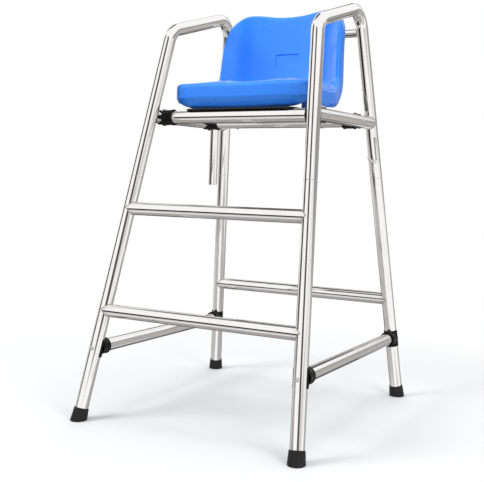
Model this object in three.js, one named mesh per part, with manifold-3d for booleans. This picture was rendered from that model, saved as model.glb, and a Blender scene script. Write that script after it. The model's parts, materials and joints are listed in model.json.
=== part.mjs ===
// A tall lifeguard chair: two bent tube side frames that lean in, ladder rungs, a bucket seat on rails.
// Millimetres, +Z up, +Y to the back, +X to the right of someone who faces the chair. Left and right in
// the names are also as that person sees them.
// The origin is on the floor, in the middle of the four feet.
import * as THREE from "three";
import { mergeVertices } from "three/addons/utils/BufferGeometryUtils.js";
import Module from "manifold-3d";

const wasm = await Module();
wasm.setup();

// Stance: the leg axes on the floor, and how the side frames and legs lean
const footTrack = 696;
const footBase = 771;
const frameLeanDegrees = 5.28;
const frontRakeDegrees = 14.5;
const rearRakeDegrees = 6.67;

// Heights of the axes above the floor
const frontSeamHeight = 703;
const rearSeamHeight = 714;
const armFrontHeight = 1145;
const armRearHeight = 1238;
const lowerRungHeight = 313;
const upperRungHeight = 610;
const rearCrossbarHeight = 324;
const rearTopBarDrop = 76;
const seatRailHeight = 885;
const braceFrontHeight = 206;
const braceRearHeight = 195;

// Places of the seat rails from the middle of the stance
const frontSeatRailSetback = -97.5;
const rearSeatRailSetback = 166.5;

// Tubes
const tubeDiameter = 38;
const tubeWall = 1.5;
const topBarDiameter = 25;
const topBarWall = 1.5;
const armBendRadius = 57;
const sleeveWall = 2;
const sleeveLength = 90;
const weldGap = 0.3;
const fitClearance = 0.3;

// Black moulded saddle connectors
const saddleWall = 2.8;
const saddleLength = 52;
const collarDiameter = 46;
const railCollarLength = 22;
const braceCollarLength = 18;
const collarLipRise = 1.2;
const collarLipLength = 5;

// Foot caps
const capHeight = 36;
const capBaseDiameter = 48;
const capTopDiameter = 42.6;
const capFloor = 6;
const capTopRound = 1.6;

// Bolts and screws
const boltDiameter = 6;
const boltHeadDiameter = 12;
const boltHeadHeight = 5;
const domeRimShare = 1 / 3;
const boltBite = 12;
const plugLength = 16;
const screwDiameter = 5;
const screwHeadDiameter = 10;
const screwHeadHeight = 3.5;
const screwBite = 16;

// Bucket seat
const seatWidth = 452;
const seatDepth = 325;
const seatHeight = 316;
const seatFrontSetback = -96.5;
const seatWall = 5;
const seatRim = 13;
const seatFrontCorner = 12;
const seatTopCorner = 60;
const bolsterRise = 11;
const bolsterPower = 1.3;
const frontFaceDrop = 30;
const frontTuckDrop = 32.5;
const frontTuckInset = 15;
const frontHemRound = 70;
const frontHemRise = 16;
const sideFaceDrop = 30;
const sideTuckDrop = 12;
const sideTuckInset = 5;
const wingFaceDrop = 19;
const wingTuckDrop = 9;
const wingTuckInset = 4;
const topFaceDrop = 12;
const topTuckDrop = 7;
const topTuckInset = 3;
const dishPower = 3.2;
const panelWidth = 80;
const panelHeight = 30;
const panelDepth = 1.5;
const panelCorner = 4;
const panelRise = 174.5;
const bossDiameter = 28;
const bossSpread = 230;
const bossFrontInset = 66;
const bossRearInset = 216;

// Plate under the seat
const plateWidth = 360;
const plateThickness = 5;
const plateFrontMargin = 15;
const plateRearMargin = 20;
const plateCorner = 24;
const plateScrewInset = 30;

// Hook on the rear right leg
const hookRod = 8;
const hookTopHeight = 843;
const hookShank = 67;
const hookTip = 22;
const hookBendRadius = 12.5;
const hookTurnDegrees = 138;
const hookSideDegrees = -48.5;
const hookOpenDegrees = -120;

// Pole sleeve below the left side rail
const poleSleeveDiameter = 30;
const poleSleeveWall = 1.5;
const poleSleeveLength = 188;
const poleSleeveSetback = 213;

// Fineness of round shapes
const tubeSides = 20;
const boreSides = 16;
const boltSides = 8;
const cornerSteps = 3;
const domeSteps = 2;
const bendSteps = 6;
const seatRows = 20;
const seatColumns = 14;
const seatCornerSteps = 4;
const seatEdgeSteps = 3;
const bisections = 24;
const tangentStep = 0.004;
const steepShare = 0.9;
const cutOverrun = 4;

const tubeRadius = tubeDiameter / 2;
// How far the flat sides of a bore stand inside its round
const boreSagitta = (tubeRadius - tubeWall) * (1 - Math.cos(Math.PI / boreSides));
const topBarRadius = topBarDiameter / 2;
const boltRadius = boltDiameter / 2;
const screwRadius = screwDiameter / 2;
const LEFT = -1;
const RIGHT = 1;
const SIDES = [
  { side: LEFT, name: "left" },
  { side: RIGHT, name: "right" },
];
const UP = new THREE.Vector3(0, 0, 1);

const steel = new THREE.MeshStandardMaterial({ color: 0xd3d6da, roughness: 0.14, metalness: 1 });
const boltSteel = new THREE.MeshStandardMaterial({ color: 0xb9bcc0, roughness: 0.25, metalness: 1 });
const blackNylon = new THREE.MeshStandardMaterial({ color: 0x15161a, roughness: 0.45, metalness: 0 });
const blackRubber = new THREE.MeshStandardMaterial({ color: 0x0e0e10, roughness: 0.75, metalness: 0 });
const blackPaint = new THREE.MeshStandardMaterial({ color: 0x121317, roughness: 0.5, metalness: 0 });
const blueShell = new THREE.MeshStandardMaterial({ color: 0x2f7cf2, roughness: 0.32, metalness: 0 });

function radians(degrees) {
  return THREE.MathUtils.degToRad(degrees);
}

// Solids: a geometry in, a geometry out, with joins and cuts between

function solidOf(geometry) {
  const bare = geometry.clone();
  bare.deleteAttribute("normal");
  bare.deleteAttribute("uv");
  const merged = mergeVertices(bare);
  return new wasm.Manifold(
    new wasm.Mesh({
      numProp: 3,
      vertProperties: merged.attributes.position.array,
      triVerts: new Uint32Array(merged.index.array),
    }),
  );
}

function geometryOf(solid) {
  const mesh = solid.getMesh();
  const geometry = new THREE.BufferGeometry();
  geometry.setAttribute("position", new THREE.BufferAttribute(mesh.vertProperties, 3));
  geometry.setIndex(new THREE.BufferAttribute(mesh.triVerts, 1));
  geometry.computeVertexNormals();
  return geometry;
}

function join(...geometries) {
  return geometryOf(geometries.map(solidOf).reduce((sum, next) => sum.add(next)));
}

function cut(geometry, ...tools) {
  return geometryOf(tools.map(solidOf).reduce((rest, tool) => rest.subtract(tool), solidOf(geometry)));
}

function point(x, y, z) {
  return new THREE.Vector3(x, y, z);
}

// A frame with its origin at a point, z along a direction and x as near as it can be to a hint
function frameAt(origin, direction, given = null) {
  const z = direction.clone().normalize();
  const hint = given ?? (Math.abs(z.x) < steepShare ? point(1, 0, 0) : point(0, 1, 0));
  const x = hint.clone().addScaledVector(z, -hint.dot(z)).normalize();
  const y = new THREE.Vector3().crossVectors(z, x);
  return new THREE.Matrix4().makeBasis(x, y, z).setPosition(origin);
}

// A named mesh whose geometry, given in the chair's frame, is kept in the piece's own frame
function makePiece(name, geometry, material, frame = new THREE.Matrix4()) {
  const mesh = new THREE.Mesh(geometry.clone().applyMatrix4(frame.clone().invert()), material);
  frame.decompose(mesh.position, mesh.quaternion, mesh.scale);
  mesh.name = name;
  return mesh;
}

function circlePoints(radius, sides) {
  return Array.from({ length: sides }, (_, i) => {
    const angle = (2 * Math.PI * i) / sides;
    return new THREE.Vector2(radius * Math.cos(angle), radius * Math.sin(angle));
  });
}

// A ring section, whose bore has fewer sides than its outside
function ringShape(outer, inner, sides) {
  const shape = new THREE.Shape(circlePoints(outer, sides));
  if (inner > 0) {
    shape.holes.push(new THREE.Path(circlePoints(inner, Math.min(sides, boreSides)).reverse()));
  }
  return shape;
}

// A straight round bar or tube from one point to another; a wall of 0 leaves it solid
function straightTube(from, to, radius, wall = 0, sides = tubeSides) {
  const along = new THREE.Vector3().subVectors(to, from);
  const section = ringShape(radius, wall > 0 ? radius - wall : 0, sides);
  const geometry = new THREE.ExtrudeGeometry(section, { depth: along.length(), bevelEnabled: false });
  return geometry.applyMatrix4(frameAt(from, along));
}

// A round cutting tool, whose flat sides keep the radius clear
function roundTool(from, to, radius, sides = boreSides) {
  return straightTube(from, to, radius / Math.cos(Math.PI / sides), 0, sides);
}

// The same, made longer at both ends, so that it cuts right through
function throughTool(from, to, radius, sides = boreSides) {
  const along = new THREE.Vector3().subVectors(to, from).setLength(cutOverrun);
  return roundTool(from.clone().sub(along), to.clone().add(along), radius, sides);
}

// A path of straight runs and round bends. Equal steps of its parameter fall on the ends of each run
// and on even turns of each bend, so a swept tube gets its rings only where it bends.
class BentPath extends THREE.Curve {
  constructor(corners, radius, steps) {
    super();
    this.stations = [];
    corners.forEach((corner, i) => {
      const before = corners[i - 1];
      const after = corners[i + 1];
      if (!before || !after) {
        const tangent = before ? corner.clone().sub(before) : after.clone().sub(corner);
        this.stations.push({ at: corner.clone(), tangent: tangent.normalize() });
        return;
      }
      const into = corner.clone().sub(before).normalize();
      const out = after.clone().sub(corner).normalize();
      const turn = into.angleTo(out);
      const start = corner.clone().addScaledVector(into, -radius * Math.tan(turn / 2));
      const inward = out.clone().addScaledVector(into, -out.dot(into)).normalize();
      for (let k = 0; k <= steps; k += 1) {
        const angle = (turn * k) / steps;
        const at = start
          .clone()
          .addScaledVector(into, radius * Math.sin(angle))
          .addScaledVector(inward, radius * (1 - Math.cos(angle)));
        const tangent = into.clone().multiplyScalar(Math.cos(angle));
        this.stations.push({ at, tangent: tangent.addScaledVector(inward, Math.sin(angle)) });
      }
    });
  }

  getUtoTmapping(u) {
    return u;
  }

  between(t, key) {
    const place = t * (this.stations.length - 1);
    const i = Math.min(Math.floor(place), this.stations.length - 2);
    return this.stations[i][key].clone().lerp(this.stations[i + 1][key], place - i);
  }

  getPoint(t) {
    return this.between(t, "at");
  }

  getTangent(t) {
    return this.between(t, "tangent").normalize();
  }
}

function sweptTube(path, radius, wall, sides = tubeSides) {
  return new THREE.ExtrudeGeometry(ringShape(radius, wall > 0 ? radius - wall : 0, sides), {
    steps: path.stations.length - 1,
    bevelEnabled: false,
    extrudePath: path,
  });
}

// Stance

function legX(side, height) {
  return side * (footTrack / 2 - Math.tan(radians(frameLeanDegrees)) * height);
}

function frontLegPoint(side, height) {
  return point(legX(side, height), -footBase / 2 + Math.tan(radians(frontRakeDegrees)) * height, height);
}

function rearLegPoint(side, height) {
  return point(legX(side, height), footBase / 2 - Math.tan(radians(rearRakeDegrees)) * height, height);
}

const LEG_LINES = [
  { end: "front", at: frontLegPoint, seam: frontSeamHeight },
  { end: "rear", at: rearLegPoint, seam: rearSeamHeight },
];

// The direction of a leg, upwards
function legDirectionOf(at, side) {
  return at(side, frontSeamHeight).sub(at(side, 0)).normalize();
}

// The whole axis of a leg, from the floor to the armrest's corner, as a tool round which others are coped
function legTool(at, side, radius) {
  return throughTool(at(side, 0), at(side, armRearHeight), radius);
}

// Bolted joints: a host tube, a branch tube whose end stands in the collar of a saddle, and a bolt

// What a joint's pieces share: places and directions on the axes of the host and the branch
function jointOf(name, hostPoint, hostDirection, branchDirection, collarLength) {
  const host = hostDirection.clone().normalize();
  const branch = branchDirection.clone().normalize();
  const square = branch.clone().addScaledVector(host, -branch.dot(host)).normalize();
  const tilt = Math.acos(Math.min(1, branch.dot(square)));
  const saddleInner = tubeRadius + fitClearance;
  const saddleOuter = saddleInner + saddleWall;
  const stop = (saddleOuter + tubeRadius * Math.sin(tilt)) / Math.cos(tilt);
  return {
    name,
    at: hostPoint,
    host,
    branch,
    square,
    saddleInner,
    saddleOuter,
    stop,
    tubeStart: stop + fitClearance,
    collarEnd: (saddleOuter + collarLength) / Math.cos(tilt),
    headFace: -(tubeRadius + fitClearance + (boltHeadDiameter / 2) * Math.sin(tilt)) / Math.cos(tilt),
  };
}

function along(joint, distance) {
  return joint.at.clone().addScaledVector(joint.branch, distance);
}

function hostTool(joint, radius) {
  const reach = saddleLength + collarDiameter;
  return roundTool(
    joint.at.clone().addScaledVector(joint.host, -reach),
    joint.at.clone().addScaledVector(joint.host, reach),
    radius,
  );
}

function boltHole(joint) {
  const end = along(joint, joint.tubeStart + plugLength + cutOverrun);
  return roundTool(along(joint, joint.headFace - cutOverrun), end, boltRadius + fitClearance, boltSides);
}

// The saddle: a half shell on the host tube and a lipped collar round the branch tube
function saddle(joint) {
  const { saddleInner, saddleOuter } = joint;
  const section = new THREE.Shape();
  section.absarc(0, 0, saddleOuter, -Math.PI / 2, Math.PI / 2, false);
  section.absarc(0, 0, saddleInner, Math.PI / 2, -Math.PI / 2, true);
  const shell = new THREE.ExtrudeGeometry(section, {
    depth: saddleLength,
    bevelEnabled: false,
    curveSegments: boreSides / 4,
  });
  shell.translate(0, 0, -saddleLength / 2);
  shell.applyMatrix4(frameAt(joint.at, joint.host, joint.square));
  const collarRadius = collarDiameter / 2;
  const outline = [
    [0, 0],
    [collarRadius, 0],
    [collarRadius, joint.collarEnd - collarLipLength - collarLipRise],
    [collarRadius + collarLipRise, joint.collarEnd - collarLipLength],
    [collarRadius + collarLipRise, joint.collarEnd - collarLipRise],
    [collarRadius, joint.collarEnd],
    [0, joint.collarEnd],
  ];
  const collar = lathe(outline, boreSides).applyMatrix4(frameAt(joint.at, joint.branch));
  const boreEnd = along(joint, joint.collarEnd + cutOverrun);
  const bore = roundTool(along(joint, joint.stop), boreEnd, tubeRadius + fitClearance);
  const body = cut(join(shell, collar), hostTool(joint, saddleInner), bore, boltHole(joint));
  return makePiece(joint.name + "_saddle", body, blackNylon, frameAt(joint.at, joint.branch));
}

// A revolved solid about +Z from a profile of [radius, height] points that starts and ends on the axis
function lathe(profile, sides = tubeSides) {
  const points = profile.map(([r, h]) => new THREE.Vector2(r, h));
  return new THREE.LatheGeometry(points, sides).rotateX(Math.PI / 2);
}

// A dome-headed fastener that starts under its head and points along a direction
function domeFastener(from, direction, radius, length, headRadius, headHeight) {
  const rimHeight = domeRimShare * headHeight;
  const dome = [];
  for (let k = 0; k <= domeSteps; k += 1) {
    const angle = ((Math.PI / 2) * k) / domeSteps;
    const height = -rimHeight - (headHeight - rimHeight) * Math.cos(angle);
    dome.push([headRadius * Math.sin(angle), height]);
  }
  const profile = [...dome, [headRadius, 0], [radius, 0], [radius, length], [0, length]];
  return lathe(profile, boltSides).applyMatrix4(frameAt(from, direction));
}

function jointBolt(joint) {
  const length = joint.tubeStart - joint.headFace + boltBite;
  const from = along(joint, joint.headFace);
  const headRadius = boltHeadDiameter / 2;
  const body = domeFastener(from, joint.branch, boltRadius, length, headRadius, boltHeadHeight);
  return makePiece(joint.name + "_bolt", body, boltSteel, frameAt(from, joint.branch));
}

// The threaded plug that sits in the branch tube's end and takes the bolt
function jointPlug(joint) {
  const from = along(joint, joint.tubeStart);
  const to = along(joint, joint.tubeStart + plugLength);
  const outer = tubeRadius - tubeWall - boreSagitta - fitClearance;
  const plug = straightTube(from, to, outer, outer - boltRadius - fitClearance, boreSides);
  return makePiece(joint.name + "_plug", plug, boltSteel, frameAt(from, joint.branch));
}

// A branch tube between two joints, cut square against the stops of both saddles
function branchTube(first, second) {
  return straightTube(along(first, first.tubeStart), along(second, second.tubeStart), tubeRadius, tubeWall);
}

function jointPieces(joint) {
  return [saddle(joint), jointBolt(joint), jointPlug(joint)];
}

// Places of the seat rails' joints on the side rails, and of the braces' joints on the legs

function railJoint(name, side, setback) {
  const hostPoint = point(legX(side, seatRailHeight), setback, seatRailHeight);
  const inward = point(-side, 0, 0);
  return jointOf(name, hostPoint, point(0, 1, 0), inward, railCollarLength);
}

const SEAT_RAILS = [
  { name: "front_seat_rail", setback: frontSeatRailSetback },
  { name: "rear_seat_rail", setback: rearSeatRailSetback },
].map((rail) => ({
  ...rail,
  joints: SIDES.map(({ side, name }) => railJoint(name + "_" + rail.name, side, rail.setback)),
}));

const BRACES = SIDES.map(({ side, name }) => {
  const front = frontLegPoint(side, braceFrontHeight);
  const rear = rearLegPoint(side, braceRearHeight);
  const run = rear.clone().sub(front);
  const joints = LEG_LINES.map(({ end, at }) => {
    const isFront = end === "front";
    const direction = isFront ? run : run.clone().negate();
    const label = name + "_" + end + "_brace";
    return jointOf(label, isFront ? front : rear, legDirectionOf(at, side), direction, braceCollarLength);
  });
  return { side, name: name + "_brace", joints };
});

// Side frames

function hoop(side, name) {
  const start = frontLegPoint(side, frontSeamHeight + weldGap);
  const end = rearLegPoint(side, rearSeamHeight + weldGap);
  const corners = [start, frontLegPoint(side, armFrontHeight), rearLegPoint(side, armRearHeight), end];
  const path = new BentPath(corners, armBendRadius, bendSteps);
  return makePiece(name + "_hoop", sweptTube(path, tubeRadius, tubeWall), steel);
}

// How high the square lower end of a leg tube stands, so that its lowest edge clears the cap's floor
function legFootHeight(at, side) {
  const lean = legDirectionOf(at, side).angleTo(UP);
  return capFloor + fitClearance + tubeRadius * Math.sin(lean);
}

function leg({ at, seam }, side, name, joint) {
  const foot = at(side, legFootHeight(at, side));
  const top = at(side, seam);
  const tube = cut(straightTube(foot, top, tubeRadius, tubeWall), boltHole(joint));
  return makePiece(name + "_leg", tube, steel, frameAt(foot, legDirectionOf(at, side)));
}

// The spigot inside the seam of a leg
function jointSleeve({ at, seam }, side, name) {
  const direction = legDirectionOf(at, side);
  const middle = at(side, seam);
  const from = middle.clone().addScaledVector(direction, -sleeveLength / 2);
  const to = middle.clone().addScaledVector(direction, sleeveLength / 2);
  const tube = straightTube(from, to, tubeRadius - tubeWall - boreSagitta - fitClearance, sleeveWall);
  return makePiece(name + "_joint_sleeve", tube, steel, frameAt(from, direction));
}

// The rubber cap: a tapered cup along the leg whose underside is cut level with the floor
function footCap({ at }, side, name) {
  const direction = legDirectionOf(at, side);
  const base = at(side, 0);
  const baseRadius = capBaseDiameter / 2;
  const topRadius = capTopDiameter / 2;
  const flare = baseRadius - topRadius;
  const cup = lathe([
    [0, -capHeight],
    [baseRadius + flare, -capHeight],
    [topRadius, capHeight - capTopRound],
    [topRadius - capTopRound, capHeight],
    [0, capHeight],
  ]).applyMatrix4(frameAt(base, direction));
  const bore = roundTool(
    at(side, legFootHeight(at, side)).addScaledVector(direction, -fitClearance),
    base.clone().addScaledVector(direction, capHeight + cutOverrun),
    tubeRadius + fitClearance,
  );
  const span = 2 * (capBaseDiameter + capHeight);
  const under = new THREE.BoxGeometry(span, span, 2 * capHeight);
  under.translate(base.x, base.y, -capHeight);
  return makePiece(name + "_foot_cap", cut(cup, under, bore), blackRubber, frameAt(base, direction));
}

// A tube welded between the two front or the two rear legs: coped round each of them
function crossBar(name, at, height, radius, wall) {
  const tools = SIDES.map(({ side }) => legTool(at, side, tubeRadius + weldGap));
  const bar = cut(straightTube(at(LEFT, height), at(RIGHT, height), radius, wall), ...tools);
  return makePiece(name, bar, steel, frameAt(at(LEFT, height), point(1, 0, 0)));
}

function sideRail(side, name) {
  const front = frontLegPoint(side, seatRailHeight);
  const bar = cut(
    straightTube(front, rearLegPoint(side, seatRailHeight), tubeRadius, tubeWall),
    legTool(frontLegPoint, side, tubeRadius + weldGap),
    legTool(rearLegPoint, side, tubeRadius + weldGap),
    ...SEAT_RAILS.map((rail) => boltHole(rail.joints[side === LEFT ? 0 : 1])),
  );
  return makePiece(name + "_side_rail", bar, steel, frameAt(front, point(0, 1, 0)));
}

function sideFrame({ side, name }) {
  const group = new THREE.Group();
  const brace = BRACES.find((one) => one.side === side);
  group.add(hoop(side, name), sideRail(side, name));
  LEG_LINES.forEach((line, i) => {
    const label = line.end + "_" + name;
    group.add(leg(line, side, label, brace.joints[i]));
    group.add(jointSleeve(line, side, label));
    group.add(footCap(line, side, label));
    group.add(...jointPieces(brace.joints[i]));
  });
  const [front] = brace.joints;
  group.add(makePiece(brace.name, branchTube(...brace.joints), steel, frameAt(front.at, front.branch)));
  return group;
}

// Cross members

function crossMembers() {
  const group = new THREE.Group();
  group.add(
    crossBar("lower_rung", frontLegPoint, lowerRungHeight, tubeRadius, tubeWall),
    crossBar("upper_rung", frontLegPoint, upperRungHeight, tubeRadius, tubeWall),
    crossBar("rear_crossbar", rearLegPoint, rearCrossbarHeight, tubeRadius, tubeWall),
    crossBar("rear_top_bar", rearLegPoint, armRearHeight - rearTopBarDrop, topBarRadius, topBarWall),
  );
  return group;
}

// Seat rails, plate and their screws

const plateBottom = seatRailHeight + tubeRadius + weldGap;
const plateTop = plateBottom + plateThickness;
const seatBottom = plateTop + weldGap;

function plateScrewPlaces() {
  return SEAT_RAILS.flatMap((rail) =>
    SIDES.map(({ side, name }) => ({
      name: name + "_" + rail.name,
      setback: rail.setback,
      from: point(side * (plateWidth / 2 - plateScrewInset), rail.setback, seatRailHeight - tubeRadius - fitClearance),
      to: point(side * (plateWidth / 2 - plateScrewInset), rail.setback, plateTop),
    })),
  );
}

function seatScrewPlaces() {
  return [
    { end: "front", inset: bossFrontInset },
    { end: "rear", inset: bossRearInset },
  ].flatMap(({ end, inset }) =>
    SIDES.map(({ side, name }) => ({
      name: end + "_" + name,
      at: point((side * bossSpread) / 2, seatFrontSetback + inset, plateBottom - fitClearance),
    })),
  );
}

function screwHole(from, to) {
  return throughTool(from, to, screwRadius + fitClearance, boltSides);
}

function seatRail(rail) {
  const [first, second] = rail.joints;
  const holes = plateScrewPlaces()
    .filter((screw) => screw.setback === rail.setback)
    .map((screw) => screwHole(screw.from, screw.to));
  const tube = cut(branchTube(first, second), ...holes);
  return makePiece(rail.name, tube, steel, frameAt(first.at, first.branch));
}

function screw(name, from, length) {
  const headRadius = screwHeadDiameter / 2;
  const body = domeFastener(from, UP, screwRadius, length, headRadius, screwHeadHeight);
  return makePiece(name, body, boltSteel, frameAt(from, UP));
}

function roundedRectangle(width, height, corner) {
  const shape = new THREE.Shape();
  const x = width / 2 - corner;
  const y = height / 2 - corner;
  shape.absarc(x, y, corner, 0, Math.PI / 2, false);
  shape.absarc(-x, y, corner, Math.PI / 2, Math.PI, false);
  shape.absarc(-x, -y, corner, Math.PI, 1.5 * Math.PI, false);
  shape.absarc(x, -y, corner, 1.5 * Math.PI, 2 * Math.PI, false);
  return shape;
}

function seatPlate() {
  const front = frontSeatRailSetback - plateFrontMargin;
  const rear = rearSeatRailSetback + plateRearMargin;
  const blank = new THREE.ExtrudeGeometry(roundedRectangle(plateWidth, rear - front, plateCorner), {
    depth: plateThickness,
    bevelEnabled: false,
    curveSegments: cornerSteps / 2,
  });
  const middle = point(0, (front + rear) / 2, plateBottom);
  blank.translate(middle.x, middle.y, middle.z);
  const holes = [
    ...plateScrewPlaces().map((place) => screwHole(place.from, place.to)),
    ...seatScrewPlaces().map(({ at }) => screwHole(at, at.clone().setZ(seatBottom))),
  ];
  return makePiece("seat_plate", cut(blank, ...holes), blackPaint, frameAt(middle, UP));
}

// Bucket seat: a dished surface lofted between a middle and a rim line, with a turned-down edge

// Middle line from the front edge over the pan and up the back, as shares of seat depth and height
const middleLineShares = [
  [0.04, 0.241],
  [0.16, 0.258],
  [0.34, 0.27],
  [0.54, 0.262],
  [0.75, 0.235],
  [0.87, 0.245],
  [0.925, 0.33],
  [0.955, 0.55],
  [0.972, 0.76],
  [0.985, 0.955],
];
const rimLineShares = [
  [0.04, 0.241],
  [0.16, 0.222],
  [0.34, 0.2],
  [0.54, 0.205],
  [0.64, 0.24],
  [0.7, 0.3],
  [0.73, 0.37],
  [0.755, 0.56],
  [0.807, 0.78],
  [0.89, 1],
];
const bolsterShares = [0.15, 0.5, 1, 1.05, 0.55, 0.2, 0, 0, 0.1, 0.7];
const turnShares = [0, 0, 0, 0.08, 0.3, 0.62, 0.85, 1, 1, 1];
const widthShares = [1, 1, 1, 1, 0.985, 0.96, 0.94, 0.925, 0.905, 0.88];

// A smooth value at a share of the way along a table of evenly spaced stations
function tableValue(table, share) {
  const curve = new THREE.CatmullRomCurve3(table.map((value, i) => point(value, i, 0)));
  return curve.getPoint(share).x;
}

function linePoint(shares, share) {
  const places = shares.map(([depth, height]) =>
    point(0, seatFrontSetback + depth * seatDepth, seatBottom + height * seatHeight),
  );
  return new THREE.CatmullRomCurve3(places).getPoint(share);
}

// Shares of the middle line between which the pan and the back are searched for a place
const panSpan = [0, 0.5];
const backSpan = [0.6, 1];

const seatHalf = seatWidth / 2 - seatRim;
const seatLineLength = new THREE.CatmullRomCurve3(
  middleLineShares.map(([depth, height]) => point(0, depth * seatDepth, height * seatHeight)),
).getLength();

// The dished surface at a side share of -1 to 1 and a share of the way from front edge to top edge
function seatSurface(sideShare, lineShare) {
  const middle = linePoint(middleLineShares, lineShare);
  const rim = linePoint(rimLineShares, lineShare);
  const dish = Math.abs(sideShare) ** dishPower;
  const bump = Math.sin(Math.PI * Math.abs(sideShare) ** bolsterPower) ** 2;
  const place = middle.clone().lerp(rim, dish);
  place.z += bolsterRise * tableValue(bolsterShares, lineShare) * bump;
  place.x = sideShare * seatHalf * tableValue(widthShares, lineShare);
  return place;
}

// The outline at a share of the way: its half width as a share, drawn in by the rounded corners, and the
// angle by which its edge faces the front or the top there
function seatOutline(lineShare) {
  const fromFront = lineShare * seatLineLength;
  const fromTop = (1 - lineShare) * seatLineLength;
  const towardFront = fromFront < seatFrontCorner;
  const corner = towardFront ? seatFrontCorner : seatTopCorner;
  const angle = Math.asin(1 - Math.min(1, (towardFront ? fromFront : fromTop) / corner));
  return { half: 1 - (corner * (1 - Math.cos(angle))) / seatHalf, angle, towardFront };
}

// Shares of the way of the rows: closer together where the corners are rounded
function seatRowShares() {
  const front = seatFrontCorner / seatLineLength;
  const top = seatTopCorner / seatLineLength;
  const steps = seatCornerSteps;
  const shares = [];
  for (let k = 0; k <= steps; k += 1) shares.push(front * (1 - Math.cos(((Math.PI / 2) * k) / steps)));
  const inner = seatRows - 2 * steps;
  for (let k = 1; k < inner; k += 1) shares.push(front + ((1 - front - top) * k) / inner);
  for (let k = steps; k >= 0; k -= 1) shares.push(1 - top * (1 - Math.cos(((Math.PI / 2) * k) / steps)));
  return shares;
}

function seatTangents(sideShare, lineShare) {
  const low = Math.max(0, lineShare - tangentStep);
  const high = Math.min(1, lineShare + tangentStep);
  const ahead = seatSurface(sideShare, high).sub(seatSurface(sideShare, low)).normalize();
  const left = seatSurface(Math.max(-1, sideShare - tangentStep), lineShare);
  const across = seatSurface(Math.min(1, sideShare + tangentStep), lineShare).sub(left).normalize();
  return { ahead, across };
}

// The turned edge below one place of the outline: round, then a straight face, then a tucked band
function edgePoints(place, outward, turnShare, drops) {
  const down = point(0, Math.sin((turnShare * Math.PI) / 2), -Math.cos((turnShare * Math.PI) / 2));
  const out = outward.clone().addScaledVector(down, -outward.dot(down)).normalize();
  const points = [];
  for (let k = 1; k <= seatEdgeSteps; k += 1) {
    const angle = ((Math.PI / 2) * k) / seatEdgeSteps;
    points.push(
      place
        .clone()
        .addScaledVector(out, seatRim * Math.sin(angle))
        .addScaledVector(down, seatRim * (1 - Math.cos(angle))),
    );
  }
  const crease = points[points.length - 1].clone().addScaledVector(down, drops.face);
  const hem = crease.clone().addScaledVector(down, drops.tuck).addScaledVector(out, -drops.inset);
  return [...points, crease, hem];
}

// Drops of the turned edge at the front, along the pan, up the wings and at the top, blended by shares
function edgeDrops(frontShare, topShare, turnShare) {
  const panShare = (1 - frontShare - topShare) * (1 - turnShare);
  const wingShare = (1 - frontShare - topShare) * turnShare;
  const blend = (front, pan, wing, top) =>
    front * frontShare + pan * panShare + wing * wingShare + top * topShare;
  return {
    face: blend(frontFaceDrop, sideFaceDrop, wingFaceDrop, topFaceDrop),
    tuck: blend(frontTuckDrop, sideTuckDrop, wingTuckDrop, topTuckDrop),
    inset: blend(frontTuckInset, sideTuckInset, wingTuckInset, topTuckInset),
  };
}

// The turned edge at one place of the outline; the front and top edges face straight ahead
function outlineEdge(sideShare, lineShare) {
  const { half, angle, towardFront } = seatOutline(lineShare);
  const place = seatSurface(sideShare * half, lineShare);
  const { ahead, across } = seatTangents(sideShare * half, lineShare);
  const sideways = across.multiplyScalar(Math.sign(sideShare) || 1);
  const outward = sideways.multiplyScalar(Math.cos(angle));
  outward.addScaledVector(ahead, (towardFront ? -1 : 1) * Math.sin(angle));
  const share = Math.sin(angle) ** 2;
  const turnShare = tableValue(turnShares, lineShare);
  const drops = edgeDrops(towardFront ? share : 0, towardFront ? 0 : share, turnShare);
  const pastFlat = Math.max(0, Math.abs(place.x) - (seatHalf - frontHemRound)) / frontHemRound;
  if (towardFront) drops.tuck -= frontHemRise * share * pastFlat ** 2;
  return edgePoints(place, outward, turnShare, drops);
}

// The loop of turned edge points round the whole outline, in step with the loop of border points
function seatEdgeLoop(rowShares) {
  const loop = [];
  const rows = rowShares.length;
  for (let i = 0; i < seatColumns; i += 1) loop.push(outlineEdge((2 * i) / seatColumns - 1, 0));
  for (let j = 0; j < rows - 1; j += 1) loop.push(outlineEdge(1, rowShares[j]));
  for (let i = seatColumns; i > 0; i -= 1) loop.push(outlineEdge((2 * i) / seatColumns - 1, 1));
  for (let j = rows - 1; j > 0; j -= 1) loop.push(outlineEdge(-1, rowShares[j]));
  return loop;
}

// The outer skin as indexed points: a grid of rows and columns, then the rings of the turned edge
function seatSkin() {
  const rowShares = seatRowShares();
  const rows = rowShares.length;
  const positions = [];
  const faces = [];
  const columns = seatColumns + 1;
  rowShares.forEach((share) => {
    const { half } = seatOutline(share);
    for (let i = 0; i < columns; i += 1) {
      positions.push(seatSurface(((2 * i) / seatColumns - 1) * half, share));
    }
  });
  const quad = (a, b, c, d) => faces.push([a, b, c], [a, c, d]);
  for (let j = 0; j < rows - 1; j += 1) {
    for (let i = 0; i < seatColumns; i += 1) {
      const a = j * columns + i;
      quad(a, a + 1, a + 1 + columns, a + columns);
    }
  }
  const border = [];
  for (let i = 0; i < seatColumns; i += 1) border.push(i);
  for (let j = 0; j < rows - 1; j += 1) border.push(j * columns + seatColumns);
  for (let i = seatColumns; i > 0; i -= 1) border.push((rows - 1) * columns + i);
  for (let j = rows - 1; j > 0; j -= 1) border.push(j * columns);
  const edge = seatEdgeLoop(rowShares);
  let ring = border;
  for (let k = 0; k < edge[0].length; k += 1) {
    const next = edge.map((points) => positions.push(points[k]) - 1);
    next.forEach((_, i) => {
      const j = (i + 1) % next.length;
      quad(ring[i], next[i], next[j], ring[j]);
    });
    ring = next;
  }
  return { positions, faces, hem: ring };
}

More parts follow.
